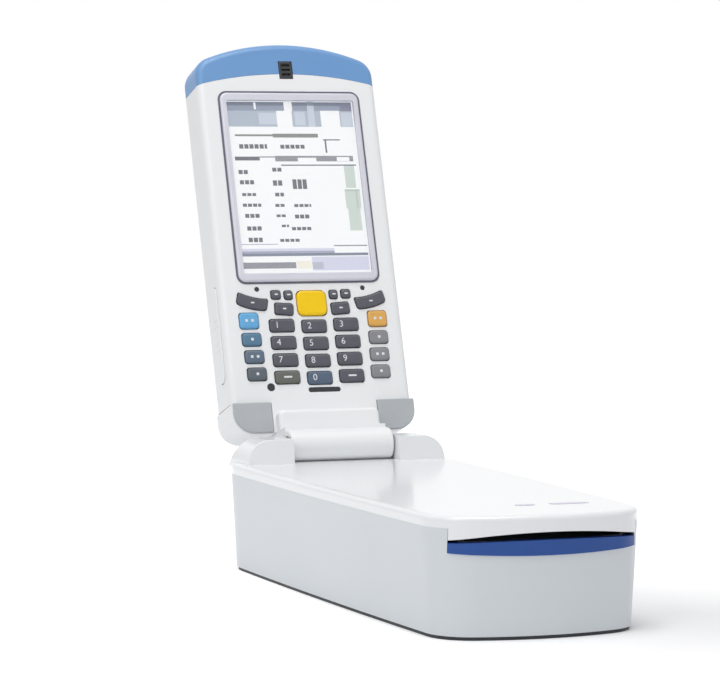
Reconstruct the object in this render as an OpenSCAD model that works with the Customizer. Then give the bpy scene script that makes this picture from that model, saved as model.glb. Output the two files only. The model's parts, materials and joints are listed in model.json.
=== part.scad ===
// Blood gas analyzer: a test-card reader with a touch-screen handheld in a tilting dock.
// Millimetres, +Z up. The card slot faces -Y, and the origin is on the desk under the reader.

/* [Reader] */
// Length of the reader, front to rear
reader_len = 224; // [214:1:236]
// Width of the reader at the hinge
reader_w = 85; // [84:1:92]
// Width across the front corners
front_w = 76; // [72:1:80]
// Plan radius of the rear corners
rear_r = 25; // [20:1:28]
// Plan radius of the front corners
front_r = 18; // [14:1:20]
// Plan radius of the swept front face
sweep_r = 90; // [80:5:140]
// How late the sides start to narrow (1 is straight)
side_ease = 2; // [1.2:0.1:2.4]
// Height of the deck above the desk
deck_z = 40.5; // [40.5:0.5:44]
// Height of the joint line between housing and top cover
cover_z = 36.5; // [36:0.5:36.5]
// How much each side leans in towards the desk
side_draft = 2; // [1:0.5:3.5]
// Thickness of the housing walls
wall = 2.6; // [2:0.2:2.8]
// Edge chamfer of the top cover
cover_chamfer = 1.8; // [1:0.2:2.2]
// Thickness of the base plate
plate_t = 3.5; // [3:0.5:3.5]
// Height of the dark edge under the housing
sole_t = 1.2; // [0.8:0.2:1.6]

/* [Card slot] */
// Half width of the trimmed opening
slot_half = 33; // [30:0.5:34]
// Height of the trim's lower edge at the middle
trim_z = 27.4; // [26:0.2:28]
// Rise of the trim's lower edge towards its ends
trim_rise = 1; // [0.6:0.1:1.4]
// Height of the slot's sill at the middle
sill_z = 32.4; // [32.2:0.1:32.6]
// Drop of the sill towards its ends
sill_drop = 0.8; // [0.5:0.1:1]
// Height of the slot's arched top at the middle
arch_z = 35; // [34.8:0.1:35.4]
// Drop of the arch towards its ends
arch_drop = 2.4; // [2:0.1:2.6]
// Depth of the trim and of the cover's lip
lip_t = 3; // [2.4:0.2:3.2]
// Length of the card guide behind the trim
guide_len = 84; // [80:1:86]

/* [Card drive] */
// Radius of the lead screw
screw_r = 3; // [2.5:0.25:3]
// Lead of the screw for one turn
screw_lead = 8; // [6:1:8]
// Travel of the drive carriage
carriage_travel = 12; // [8:1:12]
// Travel of the contact head
head_travel = 1.6; // [1.2:0.1:1.6]
// Radius of the drive motor
motor_r = 9; // [8:0.5:9]
// Length of the drive motor
motor_len = 28; // [24:1:30]

/* [Hinge] */
// Distance from the rear of the reader to the hinge axis
hinge_back = 22; // [20:1:24]
// Height of the hinge axis
hinge_z = 46; // [46:0.5:48]
// Radius of the hinge barrel
barrel_r = 6.2; // [5.8:0.1:6.2]
// Width of the hinge barrel and dock tongue
neck_w = 41; // [38:1:42]
// Radius of the hinge pin
pin_r = 2.5; // [2:0.1:2.6]
// Gap between the barrel and each shoulder
neck_gap = 0.7; // [0.5:0.1:1]
// Height of the hinge shoulders above the axis
shoulder_rise = 3.6; // [3.6:0.1:4.8]
// Rounding on the outer top edge of each shoulder
shoulder_r = 9; // [7:0.5:9]
// Lean of the docked handheld at rest
lean = 18.5; // [12:0.5:20]

/* [Dock] */
// Distance from the hinge axis to the handheld's face
face_back = 12; // [11:0.5:13]
// Distance from the hinge axis to the bottom of the cup
cup_low = 8; // [8:0.25:9]
// Height of the cup's front wall
cup_h = 12; // [10:0.5:13]
// Thickness of the cup's walls
cup_t = 1.9; // [1.8:0.1:2.2]
// Height of the cup's back wall above the hinge axis
back_top = 58; // [50:1:60]
// Clearance between the handheld and the cup
cup_gap = 0.4; // [0.3:0.05:0.5]

/* [Handheld] */
// Width of the handheld
host_w = 74; // [73:0.5:76]
// Thickness of the handheld
host_t = 21; // [20.5:0.5:24]
// Distance from the display frame's top to the top of the cap
host_top = 21.1; // [20.1:0.5:25.1]
// Radius of the cap's top sweep
cap_sweep_r = 88; // [80:1:96]
// Plan radius of the cap's corners
cap_corner_r = 8; // [7:0.5:9]
// Radius of the handheld's lower corners
heel_r = 6; // [5:0.5:8]
// Depth of the blue cap at the middle
cap_h = 13; // [12:0.5:14]
// Drop of the cap's lower edge at the sides
cap_drop = 4.6; // [3.6:0.2:6]
// Thickness of the handheld's walls
host_wall = 2; // [1.8:0.1:2.2]
// Edge rounding on the face
face_round = 3; // [2:0.25:3.5]
// Edge rounding on the back
back_round = 5; // [3:0.25:5]
// Width of a side trigger
trigger_w = 6.4; // [5.6:0.2:7]
// Length of a side trigger
trigger_l = 38; // [32:1:40]
// How far a side trigger stands proud of the handheld's side
trigger_proud = 0.5; // [0.5:0.1:0.8]
// Travel of a side trigger
trigger_travel = 0.5; // [0.3:0.1:0.5]

/* [Display] */
// Rim of the display frame on each side of the screen
frame_w = 2.3; // [2:0.1:2.6]
// Rim of the display frame above and below the screen
frame_h = 3.25; // [2.75:0.25:3.5]
// Distance from the hinge axis to the frame's lower edge
frame_low = 68.4; // [68.2:0.1:68.6]
// Width of the visible screen
screen_w = 53; // [52:0.2:53.4]
// Height of the visible screen
screen_h = 71; // [70:0.5:72]
// How far the frame stands proud of the face
frame_proud = 1.2; // [0.8:0.1:1.4]

/* [Keys] */
// Distance from the hinge axis to the lowest key row's centre
row_low = 29.6; // [29.4:0.1:29.8]
// Pitch of the key rows
row_pitch = 6.9; // [6.8:0.05:7]
// Pitch of the key columns
col_pitch = 13.2; // [13:0.05:13.3]
// Width of a middle key
key_w = 10; // [9:0.2:10.4]
// Width of a key in the outer columns
outer_key_w = 7.6; // [7:0.2:7.8]
// Height of a key
key_h = 5; // [4.6:0.1:5.2]
// Rise of the rows at the outer columns
row_smile = 2; // [1.5:0.1:2.2]
// How far a key stands proud of the face
key_proud = 1; // [0.8:0.1:1.2]
// Travel of a key
key_travel = 0.5; // [0.3:0.1:0.5]
// Gap round a key
key_gap = 0.3; // [0.25:0.05:0.35]

/* [Hidden] */
$fn = 48;
eps = 0.01;
ROWS = [1, 2, 3, 4];
COLS = [1, 2, 3, 4, 5];
FN_KEYS = [1, 2, 3, 4, 5, 6, 7, 8];
SIDES = [-1, 1];
grid_names = [for (r = ROWS) for (c = COLS) str("key_r", r, "c", c)];
fn_names = [for (i = FN_KEYS) str("function_key_", i)];
reader_names = ["base_plate", "reader_housing", "top_cover", "slot_trim", "card_guide",
    "contact_head", "lead_screw", "drive_carriage", "drive_motor", "reader_board",
    "reader_battery", "status_lights", "power_button", "reader_screws"];
dock_names = ["hinge_bracket", "hinge_pin", "hinge_bushes", "dock_cup", "corner_pads"];
host_names = ["front_housing", "rear_housing", "top_cap", "receiver_insert", "display_frame",
    "touch_glass", "display_panel", "host_board", "battery_pack", "host_screws",
    "side_trigger_left", "side_trigger_right", "scan_key"];

white = "#EDF0F3";
grey = "#A9ADB1";
dark = "#33353B";
blue = "#6F9FD0";
trim_blue = "#2F5FB0";
steel = "#B9BDC2";
board_green = "#2F6B4A";
key_grey = "#5E5F68";

run_gap = 0.05;
seat_gap = 0.02;
slip = 0.2;
small_gap = 0.3;

// Plan outline of the reader: tangent arcs with the same centres at every inset.
rear_cx = reader_w / 2 - rear_r;
rear_cy = reader_len / 2 - rear_r;
corner_cx = front_w / 2 - front_r;
sweep_cy = sweep_r - reader_len / 2;
corner_cy = sweep_cy - sqrt(pow(sweep_r - front_r, 2) - corner_cx * corner_cx);
sweep_a = atan2(sweep_cy - corner_cy, corner_cx);

function arc(cx, cy, r, a0, a1, n, first = 0) =
    [for (i = [first:n]) let (a = a0 + (a1 - a0) * i / n) [cx + r * cos(a), cy + r * sin(a)]];
function side_x(t) = reader_w / 2 - (reader_w - front_w) / 2 * pow(t, side_ease);
function half_outline(inset) = concat(
    arc(rear_cx, rear_cy, rear_r - inset, 90, 0, 8),
    [for (i = [1:6]) let (t = i / 7) [side_x(t) - inset, rear_cy + (corner_cy - rear_cy) * t]],
    arc(corner_cx, corner_cy, front_r - inset, 0, -sweep_a, 6),
    arc(0, sweep_cy, sweep_r - inset, -sweep_a, -90, 4, 1));
function mirrored(pts) = concat(pts, [for (i = [len(pts) - 2:-1:0]) [-pts[i][0], pts[i][1]]]);
function outline(inset) = mirrored(half_outline(inset));

module reader_slab(z0, z1, inset) {
    translate([0, 0, z0])
        linear_extrude(z1 - z0)
            polygon(outline(inset));
}

module reader_taper(z0, z1, inset0, inset1) {
    hull() {
        reader_slab(z0, z0 + eps, inset0);
        reader_slab(z1 - eps, z1, inset1);
    }
}

module block(x0, x1, y0, y1, z0, z1) {
    translate([x0, y0, z0])
        cube([x1 - x0, y1 - y0, z1 - z0]);
}

module rod_x(r, x0, x1) {
    translate([x0, 0, 0])
        rotate([0, 90, 0])
            cylinder(r = r, h = x1 - x0);
}

module rod_y(r, y0, y1) {
    translate([0, y0, 0])
        rotate([-90, 0, 0])
            cylinder(r = r, h = y1 - y0);
}

module post(x, y, r, z0, z1) {
    translate([x, y, z0])
        cylinder(r = r, h = z1 - z0);
}

// Draws its children on the right for side 1 and mirrored on the left for side -1.
module on_side(side) {
    mirror([side < 0 ? 1 : 0, 0, 0])
        children();
}

module round_rect(w, h, r) {
    square([w - 2 * r, h], center = true);
    square([w, h - 2 * r], center = true);
    for (sx = SIDES, sy = SIDES)
        translate([sx * (w / 2 - r), sy * (h / 2 - r)])
            circle(r);
}

// Draws a flat X-Z shape as a solid from y0 to y1.
module face_extrude(y0, y1) {
    translate([0, y1, 0])
        rotate([90, 0, 0])
            linear_extrude(y1 - y0)
                children();
}

// Points of a shallow arch that is mid high at x = 0 and drops by drop at x = half.
function arch(half, mid, drop, reach, n) = let (r = (half * half + drop * drop) / (2 * drop))
    [for (i = [0:n]) let (x = reach * (2 * i / n - 1)) [x, mid - r + sqrt(r * r - x * x)]];
arch_steps = 16;
function trim_edge(reach) = [for (p = arch(slot_half, 0, trim_rise, reach, arch_steps)) [-p[0], trim_z - p[1]]];
front_y = -reader_len / 2;
rear_y = reader_len / 2;
lip_back = front_y + 15;

// Places inside the reader.
boss_r = 4;
boss_top = 18;
boss_bite = 0.8;
boss_in = side_draft + wall + boss_r - boss_bite;
boss_front = [corner_cx + (front_r - boss_in) * cos(45), corner_cy - (front_r - boss_in) * sin(45)];
boss_rear = [rear_cx + (rear_r - boss_in) * cos(45), rear_cy + (rear_r - boss_in) * sin(45)];
bosses = [boss_front, boss_rear];
screw_shank_r = 1.25;
screw_head_r = 3;
screw_head_t = 1.6;
pillar_x = reader_w / 2 - 11.5;
pillar_ys = [rear_y - 78, rear_y - 24];
pillar_r = 2.8;
board_z = 21;
chips = [[-18, 2, 10, 28, 2], [8, 24, 14, 26, 1.6]];
board_t = 1.6;
battery_x = 26;
battery_y = [pillar_ys[0] - 2, pillar_ys[1] + 2];
battery_z = 19;
port_z = 27.5;
jack_x = -12;
jack_bore_r = 2.9;
jack_sleeve_r = jack_bore_r + 0.4;
jack_half = 4.5;
jack_depth = 10;
rear_skin = rear_y - side_draft * (cover_z - port_z) / cover_z;
jack_face = rear_skin - wall - small_gap;
jack_mouth = rear_skin - 0.5;
button_x = 12;
button_r = 4;
button_proud = 1;
button_travel = 0.6;
button_lip = 1.4;
switch_y = jack_face - 4;
screw_z = 12.5;
bearing_y = [front_y + 20, front_y + 24];
screw_front = bearing_y[0] + 1;
motor_y = front_y + 96;
motor_seat = 8;
head_y = front_y + 46;
carriage_y = head_y - carriage_travel / 2;
carriage_half = 10;
carriage_x = 11;
ramp_low = 18.2;
guide_floor_t = 2;
guide_x = 29.2;
guide_rail_t = 1.6;
guide_rail_h = 1.1;
guide_floor = sill_z - slip;
guide_posts = [[20, front_y + 26], [20, front_y + 74]];
head_x = 32;
head_leg_t = 2.2;
head_top = deck_z - 2.5 - small_gap;
head_bar_t = 2.4;
head_bar_half = 8;
head_leg_half = 4;
nose_r = 1.2;
nose_z = ramp_low + head_travel + slip + nose_r;
light_y = front_y + 30;
light_h = 4;
lights = [[3, 7], [19, 14]];
cover_t = 2.5;

// Hinge places.
axis_y = rear_y - hinge_back;
shoulder_x0 = neck_w / 2 + neck_gap;
shoulder_x1 = reader_w / 2 - 3;
shoulder_z = hinge_z + shoulder_rise;
shoulder_front = [-11, -9.5];
shoulder_rear = [3, 12];
pin_half = 34;
bush_r = 4;
bush_l = 8;
trough_gap = 0.7;

module base_plate() {
    color(dark)
        difference() {
            union() {
                reader_slab(0, sole_t, side_draft + 0.6);
                reader_slab(0, plate_t, side_draft + wall + small_gap);
                for (s = SIDES, y = pillar_ys)
                    post(s * pillar_x, y, pillar_r, plate_t - eps, board_z);
                block(-7, 7, bearing_y[0], bearing_y[1], plate_t - eps, screw_z + screw_r + 3);
            }
            translate([0, 0, screw_z])
                rod_y(screw_r + run_gap, bearing_y[0] - 1, bearing_y[1] + 1);
            for (s = SIDES, b = bosses) {
                post(s * b[0], b[1], screw_shank_r + slip, -1, plate_t + 1);
                post(s * b[0], b[1], screw_head_r + slip, -1, screw_head_t + 0.4);
            }
        }
}

module housing_solid(gap) {
    reader_taper(sole_t - (gap > 0 ? eps : 0), cover_z + (gap > 0 ? eps : 0), side_draft + gap, gap);
}

module reader_housing() {
    color(white)
        difference() {
            union() {
                difference() {
                    housing_solid(0);
                    housing_solid(wall);
                }
                intersection() {
                    housing_solid(wall / 2);
                    for (s = SIDES, b = bosses)
                        post(s * b[0], b[1], boss_r, plate_t + seat_gap, boss_top);
                }
            }
            for (s = SIDES, b = bosses)
                post(s * b[0], b[1], screw_shank_r + run_gap, plate_t - 1, boss_top - 2);
            face_extrude(front_y - 1, lip_back)
                polygon(concat([[-slot_half - slip, cover_z + 1], [slot_half + slip, cover_z + 1]],
                    trim_edge(slot_half + slip)));
            translate([jack_x, 0, port_z])
                rod_y(jack_sleeve_r + slip, jack_face - 1, reader_len);
            translate([button_x, 0, port_z])
                rod_y(button_r + small_gap, jack_face - 1, reader_len);
        }
}

module shoulder_profile() {
    translate([shoulder_x0, cover_z + 2])
        square([shoulder_x1 - shoulder_r - shoulder_x0, shoulder_z - cover_z - 2]);
    translate([shoulder_x0, cover_z + 2])
        square([shoulder_x1 - shoulder_x0, shoulder_z - shoulder_r - cover_z - 2]);
    translate([shoulder_x1 - shoulder_r, shoulder_z - shoulder_r])
        circle(shoulder_r);
}

module shoulders() {
    intersection() {
        for (s = SIDES)
            face_extrude(axis_y - 30, axis_y + 30)
                scale([s, 1])
                    shoulder_profile();
        translate([-reader_w / 2, axis_y, 0])
            rotate([90, 0, 90])
                linear_extrude(reader_w)
                    polygon([[shoulder_front[0], cover_z + 2], [shoulder_front[1], shoulder_z],
                        [shoulder_rear[0], shoulder_z], [shoulder_rear[1], cover_z + 2]]);
        reader_slab(cover_z + 1, shoulder_z + 1, cover_chamfer + 0.2);
    }
}

module cover_lip() {
    intersection() {
        difference() {
            reader_slab(trim_z, cover_z + 1, 0);
            reader_slab(trim_z - 1, cover_z + 2, lip_t);
        }
        face_extrude(front_y - 1, lip_back - slip)
            polygon(concat(arch(slot_half, arch_z, arch_drop, slot_half, arch_steps),
                [[slot_half, cover_z + 1], [-slot_half, cover_z + 1]]));
    }
}

module top_cover() {
    color(white)
        difference() {
            union() {
                reader_slab(cover_z, deck_z - cover_chamfer, 0);
                reader_taper(deck_z - cover_chamfer - eps, deck_z, 0, cover_chamfer);
                shoulders();
                cover_lip();
            }
            reader_slab(cover_z - eps, deck_z - cover_t, lip_t);
            translate([0, axis_y, hinge_z]) {
                rod_x(barrel_r + trough_gap, -shoulder_x0, shoulder_x0);
                rod_x(pin_r + seat_gap, -pin_half - slip, reader_w);
            }
            for (l = lights)
                translate([l[0], light_y, cover_z])
                    linear_extrude(deck_z)
                        round_rect(l[1] + 2 * slip, light_h + 2 * slip, light_h / 2);
        }
}

module slot_trim() {
    color(trim_blue)
        intersection() {
            difference() {
                reader_slab(trim_z, sill_z + 1, 0);
                reader_slab(trim_z - 1, sill_z + 2, lip_t);
            }
            face_extrude(front_y - 1, lip_back - slip)
                polygon(concat(arch(slot_half, sill_z, sill_drop, slot_half, arch_steps),
                    trim_edge(slot_half)));
        }
}

module card_guide() {
    color(dark)
        intersection() {
            union() {
                block(-guide_x, guide_x, front_y, front_y + guide_len, guide_floor - guide_floor_t, guide_floor);
                for (s = SIDES)
                    translate([s * (guide_x - guide_rail_t / 2), front_y + guide_len / 2, guide_floor - eps])
                        linear_extrude(guide_rail_h)
                            square([guide_rail_t, guide_len], center = true);
                block(-guide_x, guide_x, front_y + guide_len - 2, front_y + guide_len,
                    guide_floor - eps, guide_floor + guide_rail_h);
                for (s = SIDES, p = guide_posts)
                    post(s * p[0], p[1], 3, plate_t + seat_gap, guide_floor - 1);
            }
            reader_slab(0, deck_z, lip_t + slip);
        }
}

module contact_head() {
    bar_y = [head_y - head_bar_half, head_y + head_bar_half];
    leg_y = [head_y - head_leg_half, head_y + head_leg_half];
    color(steel) {
        block(-head_x, head_x, bar_y[0], bar_y[1], head_top - head_bar_t, head_top);
        for (s = SIDES)
            translate([s * (head_x - head_leg_t / 2), head_y, nose_z])
                linear_extrude(head_top - nose_z)
                    square([head_leg_t, leg_y[1] - leg_y[0]], center = true);
        block(-head_x, head_x, head_y - nose_r, head_y + nose_r, nose_z, nose_z + 3);
        translate([0, head_y, nose_z])
            rod_x(nose_r, -carriage_x, carriage_x);
    }
}

module lead_screw() {
    thread_from = bearing_y[1] + 1;
    thread_to = motor_y - 1;
    color(steel)
        translate([0, 0, screw_z]) {
            rod_y(screw_r - 0.4, screw_front, motor_y + motor_seat - 1);
            rod_y(screw_r, screw_front, thread_from);
            rod_y(screw_r, thread_to, motor_y + motor_seat - 1);
            for (y = [thread_from:screw_lead / 4:thread_to])
                rod_y(screw_r, y, y + screw_lead / 8);
        }
}

module drive_carriage() {
    ramp_a = head_travel / carriage_travel;
    top = function (s) ramp_low + (s + carriage_travel / 2) * ramp_a;
    color(dark)
        difference() {
            translate([-carriage_x, carriage_y, 0])
                rotate([90, 0, 90])
                    linear_extrude(2 * carriage_x)
                        polygon([[-carriage_half, plate_t + small_gap], [carriage_half, plate_t + small_gap],
                            [carriage_half, top(carriage_half)], [-carriage_half, top(-carriage_half)]]);
            translate([0, 0, screw_z])
                rod_y(screw_r + run_gap, carriage_y - carriage_half - 1, carriage_y + carriage_half + 1);
        }
}

module drive_motor() {
    color(steel)
        difference() {
            union() {
                translate([0, 0, screw_z])
                    rod_y(motor_r, motor_y, motor_y + motor_len);
                block(-motor_r, motor_r, motor_y + 2, motor_y + motor_len - 2, plate_t + seat_gap, screw_z);
            }
            translate([0, 0, screw_z])
                rod_y(screw_r + run_gap, motor_y - 1, motor_y + motor_seat);
        }
}

module reader_board() {
    board_x = pillar_x + 2.5;
    top = board_z + seat_gap + board_t;
    color(board_green)
        difference() {
            union() {
                intersection() {
                    block(-board_x, board_x, pillar_ys[0] - 6, switch_y - 2, board_z + seat_gap, top);
                    reader_slab(board_z, top + 1, side_draft + wall + small_gap);
                }
                block(jack_x - jack_half, jack_x + jack_half, jack_face - jack_depth - 3, jack_face,
                    top - eps, port_z + jack_half);
                translate([jack_x, 0, port_z])
                    rod_y(jack_sleeve_r, jack_face - 1, jack_mouth);
                block(button_x - 3, button_x + 3, switch_y - 6, switch_y, top - eps, port_z + 3);
                for (c = chips)
                    block(c[0], c[1], pillar_ys[0] + c[2], pillar_ys[0] + c[3], top - eps, top + c[4]);
            }
            translate([jack_x, 0, port_z])
                rod_y(jack_bore_r, jack_face - jack_depth, jack_mouth + 1);
        }
}

module reader_battery() {
    color(dark)
        block(-battery_x, battery_x, battery_y[0], battery_y[1], plate_t + seat_gap, battery_z);
}

module status_lights() {
    color("#B9B2C6")
        for (l = lights)
            translate([l[0], light_y, 0]) {
                translate([0, 0, deck_z - cover_t - 0.8])
                    linear_extrude(cover_t + 0.9)
                        round_rect(l[1], light_h, light_h / 2 - slip);
                translate([0, 0, deck_z - cover_t - 0.8])
                    linear_extrude(0.75)
                        round_rect(l[1] + 2, light_h + 2, light_h / 2);
            }
}

module power_button() {
    color(grey)
        translate([button_x, 0, port_z]) {
            rod_y(button_r, switch_y + button_travel + slip, rear_skin + button_proud);
            rod_y(button_r + button_lip, jack_face - 1.4, jack_face - slip);
        }
}

module reader_screws() {
    color(steel)
        for (s = SIDES, b = bosses) {
            post(s * b[0], b[1], screw_head_r, 0.4, screw_head_t + 0.4 - seat_gap);
            post(s * b[0], b[1], screw_shank_r, 1, boss_top - 3);
        }
}

// Dock and handheld frame: X across, Y back from the screen, Z up the handheld, origin on the axis.
module leaning() {
    translate([0, axis_y, hinge_z])
        rotate([-lean, 0, 0])
            children();
}

host_half = host_w / 2;
face_y = face_back;
back_y = face_back + host_t;
cup_floor = cup_low + 3;
heel_z = cup_floor + small_gap;
heel_half = host_half - cup_t - cup_gap;
heel_step = cup_low + cup_h + small_gap;
cup_y0 = face_y - cup_gap - cup_t + 0.2;
cup_y1 = back_y + cup_gap + cup_t;
pad_y = face_y - cup_gap - slip;
tongue_half = neck_w / 2;
tongue_y = cup_y0 - 4.4;
tongue_top = cup_low + 8;
foot_end = 18;

module cup_profile(half, low, high, r) {
    intersection() {
        union() {
            translate([-half, low + r])
                square([2 * half, high - low]);
            translate([-half + r, low])
                square([2 * (half - r), r + eps]);
            for (s = SIDES)
                translate([s * (half - r), low + r])
                    circle(r);
        }
        translate([-half, low])
            square([2 * half, high - low]);
    }
}

module hinge_bracket() {
    color(white)
        leaning()
            difference() {
                union() {
                    rod_x(barrel_r, -tongue_half, tongue_half);
                    block(-tongue_half, tongue_half, tongue_y, cup_y0 - seat_gap, 0, tongue_top);
                    block(-tongue_half, tongue_half, 0, foot_end, cup_low - 3.4, cup_low - seat_gap);
                }
                rod_x(pin_r + run_gap, -neck_w, neck_w);
                for (s = SIDES)
                    on_side(s)
                        rod_x(bush_r + seat_gap, tongue_half - bush_l, tongue_half + 1);
            }
}

module hinge_pin() {
    color(steel)
        translate([0, axis_y, hinge_z])
            rod_x(pin_r, -pin_half, pin_half + 2);
}

module hinge_bushes() {
    color("#B08D4A")
        leaning()
            difference() {
                for (s = SIDES)
                    on_side(s)
                        rod_x(bush_r, tongue_half - bush_l + slip, tongue_half - slip);
                rod_x(pin_r + run_gap, -neck_w, neck_w);
            }
}

module dock_cup() {
    color(white)
        leaning()
            difference() {
                union() {
                    face_extrude(pad_y, cup_y1)
                        cup_profile(host_half, cup_low, cup_low + cup_h, heel_r + cup_t);
                    face_extrude(cup_y0, cup_y1)
                        intersection() {
                            cup_profile(host_half, cup_low, cup_low + cup_h, heel_r + cup_t);
                            translate([-tongue_half - 1, 0])
                                square([2 * tongue_half + 2, back_top]);
                        }
                    block(-heel_half, heel_half, back_y + cup_gap, cup_y1, cup_low + cup_h - 1, back_top);
                }
                face_extrude(face_y - cup_gap, back_y + cup_gap)
                    cup_profile(heel_half + cup_gap, cup_floor, top_z, heel_r);
                block(-14, 14, face_y + 8, face_y + 15, cup_low - 1, cup_floor + 1);
            }
}

module corner_pads() {
    color(grey)
        leaning()
            face_extrude(cup_y0 - 0.2, pad_y - seat_gap)
                difference() {
                    cup_profile(host_half - 0.1, cup_low, cup_low + cup_h, heel_r + cup_t);
                    translate([-tongue_half - 1 - slip, 0])
                        square([2 * (tongue_half + 1 + slip), back_top]);
                }
}

// Handheld outline: a heel that steps in to stand in the cup, straight sides and a swept top.
outer_w = screen_w + 2 * frame_w;
outer_h = screen_h + 2 * frame_h;
top_z = frame_low + outer_h + host_top;
cap_cx = host_half - cap_corner_r;
cap_sweep_cz = top_z - cap_sweep_r;
cap_cz = cap_sweep_cz + sqrt(pow(cap_sweep_r - cap_corner_r, 2) - cap_cx * cap_cx);
cap_a = atan2(cap_cz - cap_sweep_cz, cap_cx);
cap_low = top_z - cap_h;

function host_half_outline(inset) = concat(
    arc(0, cap_sweep_cz, cap_sweep_r - inset, 90, cap_a, 6),
    arc(cap_cx, cap_cz, cap_corner_r - inset, cap_a, 0, 5, 1),
    [[host_half - inset, heel_step + inset], [heel_half - inset, heel_step + inset]],
    arc(heel_half - heel_r, heel_z + heel_r, heel_r - inset, 0, -90, 6));
function host_outline(inset) = let (h = host_half_outline(inset))
    concat(h, [for (i = [len(h) - 1:-1:1]) [-h[i][0], h[i][1]]]);

module host_slab(y0, y1, inset) {
    face_extrude(y0, y1)
        polygon(host_outline(inset));
}

// The rounded edges step in by rules of a quarter circle, in edge_steps steps.
function edge_inset(r, i) = r * (1 - cos(90 * i / edge_steps));
function edge_depth(r, i) = r * (1 - sin(90 * i / edge_steps));

module host_solid() {
    for (i = [0:edge_steps - 1]) {
        host_slab(face_y + edge_depth(face_round, i + 1), back_y - back_round, edge_inset(face_round, i));
        host_slab(face_y + face_round, back_y - edge_depth(back_round, i + 1), edge_inset(back_round, i));
    }
}

module host_shell() {
    difference() {
        host_solid();
        host_slab(face_y + host_wall, back_y - host_wall - 1, host_wall + 0.4);
    }
}

// Everything under the swept line where the cap starts.
module below_cap(gap, y0, y1) {
    face_extrude(y0, y1)
        polygon(concat(arch(host_half, cap_low - gap, cap_drop, host_half + 4, arch_steps),
            [[host_half + 4, 0], [-host_half - 4, 0]]));
}

edge_steps = 3;
split_y = face_y + 12;
frame_z = frame_low + outer_h / 2;
glass_w = screen_w + 1.6;
glass_h = screen_h + 1.6;
frame_y = face_y - frame_proud;
glass_y = frame_y + 1.1;
glass_t = 1.2;
panel_y = glass_y + glass_t + 0.1;
panel_t = 2.4;
board_y = face_y + 8;
host_posts = [[heel_half - 6.1, cup_floor + 8], [host_half - 5.2, cap_low - 14]];
host_post_r = 2.2;
host_screw_r = 1;
host_head_r = 2.4;
host_head_y = back_y - 2.6;
insert_w = 5.6;
insert_h = 7.2;
insert_z = cap_low + 1.6;
battery_half = 26;
battery_span = [28, 100];
trigger_y = face_y + 6.8;
trigger_z = 49;
trigger_r = 3;
trigger_seat = host_half - host_wall - 0.4 - slip;
trigger_flange_t = 1;
host_board_half = trigger_seat - trigger_flange_t - trigger_travel - 1.3;
host_chip_half = 16;
host_chip_z = [104, 130];

module trigger_solid(side, grow, x0, x1) {
    on_side(side)
        translate([x0, trigger_y, trigger_z])
            rotate([90, 0, 90])
                linear_extrude(x1 - x0)
                    round_rect(trigger_w + 2 * grow, trigger_l + 2 * grow, trigger_r);
}

module receiver_cut(gap) {
    translate([-insert_w / 2 - gap, face_y - slip, insert_z - insert_h / 2 - gap])
        cube([insert_w + 2 * gap, 3, insert_h + 2 * gap]);
}

module front_housing() {
    color(white)
        leaning()
            difference() {
                union() {
                    intersection() {
                        host_shell();
                        below_cap(0, face_y - 1, split_y);
                    }
                    for (s = SIDES, p = host_posts)
                        translate([s * p[0], 0, p[1]])
                            rod_y(host_post_r, face_y + 1.5, board_y - seat_gap);
                }
                translate([0, 0, frame_z])
                    face_extrude(face_y - 2, face_y + 4)
                        round_rect(outer_w + slip, outer_h + slip, 3);
                for (s = SIDES, p = host_posts)
                    translate([s * p[0], 0, p[1]])
                        rod_y(host_screw_r + run_gap, face_y + 2.5, board_y + 1);
                receiver_cut(slip / 2);
                for (s = SIDES)
                    trigger_solid(s, key_gap, trigger_seat, host_half + 1);
                key_shape(SCAN, key_gap, face_y - 2, face_y + 4);
                for (i = FN_KEYS)
                    key_shape(fn_key(i), key_gap, face_y - 2, face_y + 4);
                for (r = ROWS, c = COLS)
                    key_shape(grid_key(r, c), key_gap, face_y - 2, face_y + 4);
            }
}

module rear_housing() {
    color(white)
        leaning()
            difference() {
                union() {
                    intersection() {
                        host_shell();
                        below_cap(0, split_y + seat_gap, back_y + 1);
                    }
                    for (s = SIDES, p = host_posts)
                        translate([s * p[0], 0, p[1]])
                            rod_y(host_post_r + 1, board_y + board_t + 2 * seat_gap, host_head_y + 1);
                }
                for (s = SIDES, p = host_posts)
                    translate([s * p[0], 0, p[1]]) {
                        rod_y(host_screw_r + slip, board_y, back_y);
                        rod_y(host_head_r + slip, host_head_y, back_y + 1);
                    }
                block(-battery_half, battery_half, back_y - 4, back_y + 1, battery_span[0], battery_span[1]);
            }
}

module top_cap() {
    color(blue)
        leaning()
            difference() {
                host_shell();
                below_cap(-seat_gap, face_y - 1, back_y + 1);
                receiver_cut(slip / 2);
            }
}

module receiver_insert() {
    color(dark)
        leaning()
            receiver_cut(0);
}

module display_frame() {
    color(white)
        leaning()
            translate([0, 0, frame_z])
                difference() {
                    face_extrude(frame_y, face_y + 2)
                        round_rect(outer_w, outer_h, 3);
                    face_extrude(frame_y - 1, face_y + 3)
                        square([screen_w, screen_h], center = true);
                    face_extrude(glass_y - 0.1, face_y + 3)
                        square([glass_w, glass_h], center = true);
                }
}

module touch_glass() {
    color("#D8DEE8")
        leaning()
            translate([0, 0, frame_z])
                face_extrude(glass_y, glass_y + glass_t)
                    square([glass_w - slip, glass_h - slip], center = true);
}

module display_panel() {
    color("#9AA4B4")
        leaning()
            translate([0, 0, frame_z])
                face_extrude(panel_y, panel_y + panel_t)
                    square([glass_w - slip, glass_h - slip], center = true);
}

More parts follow.
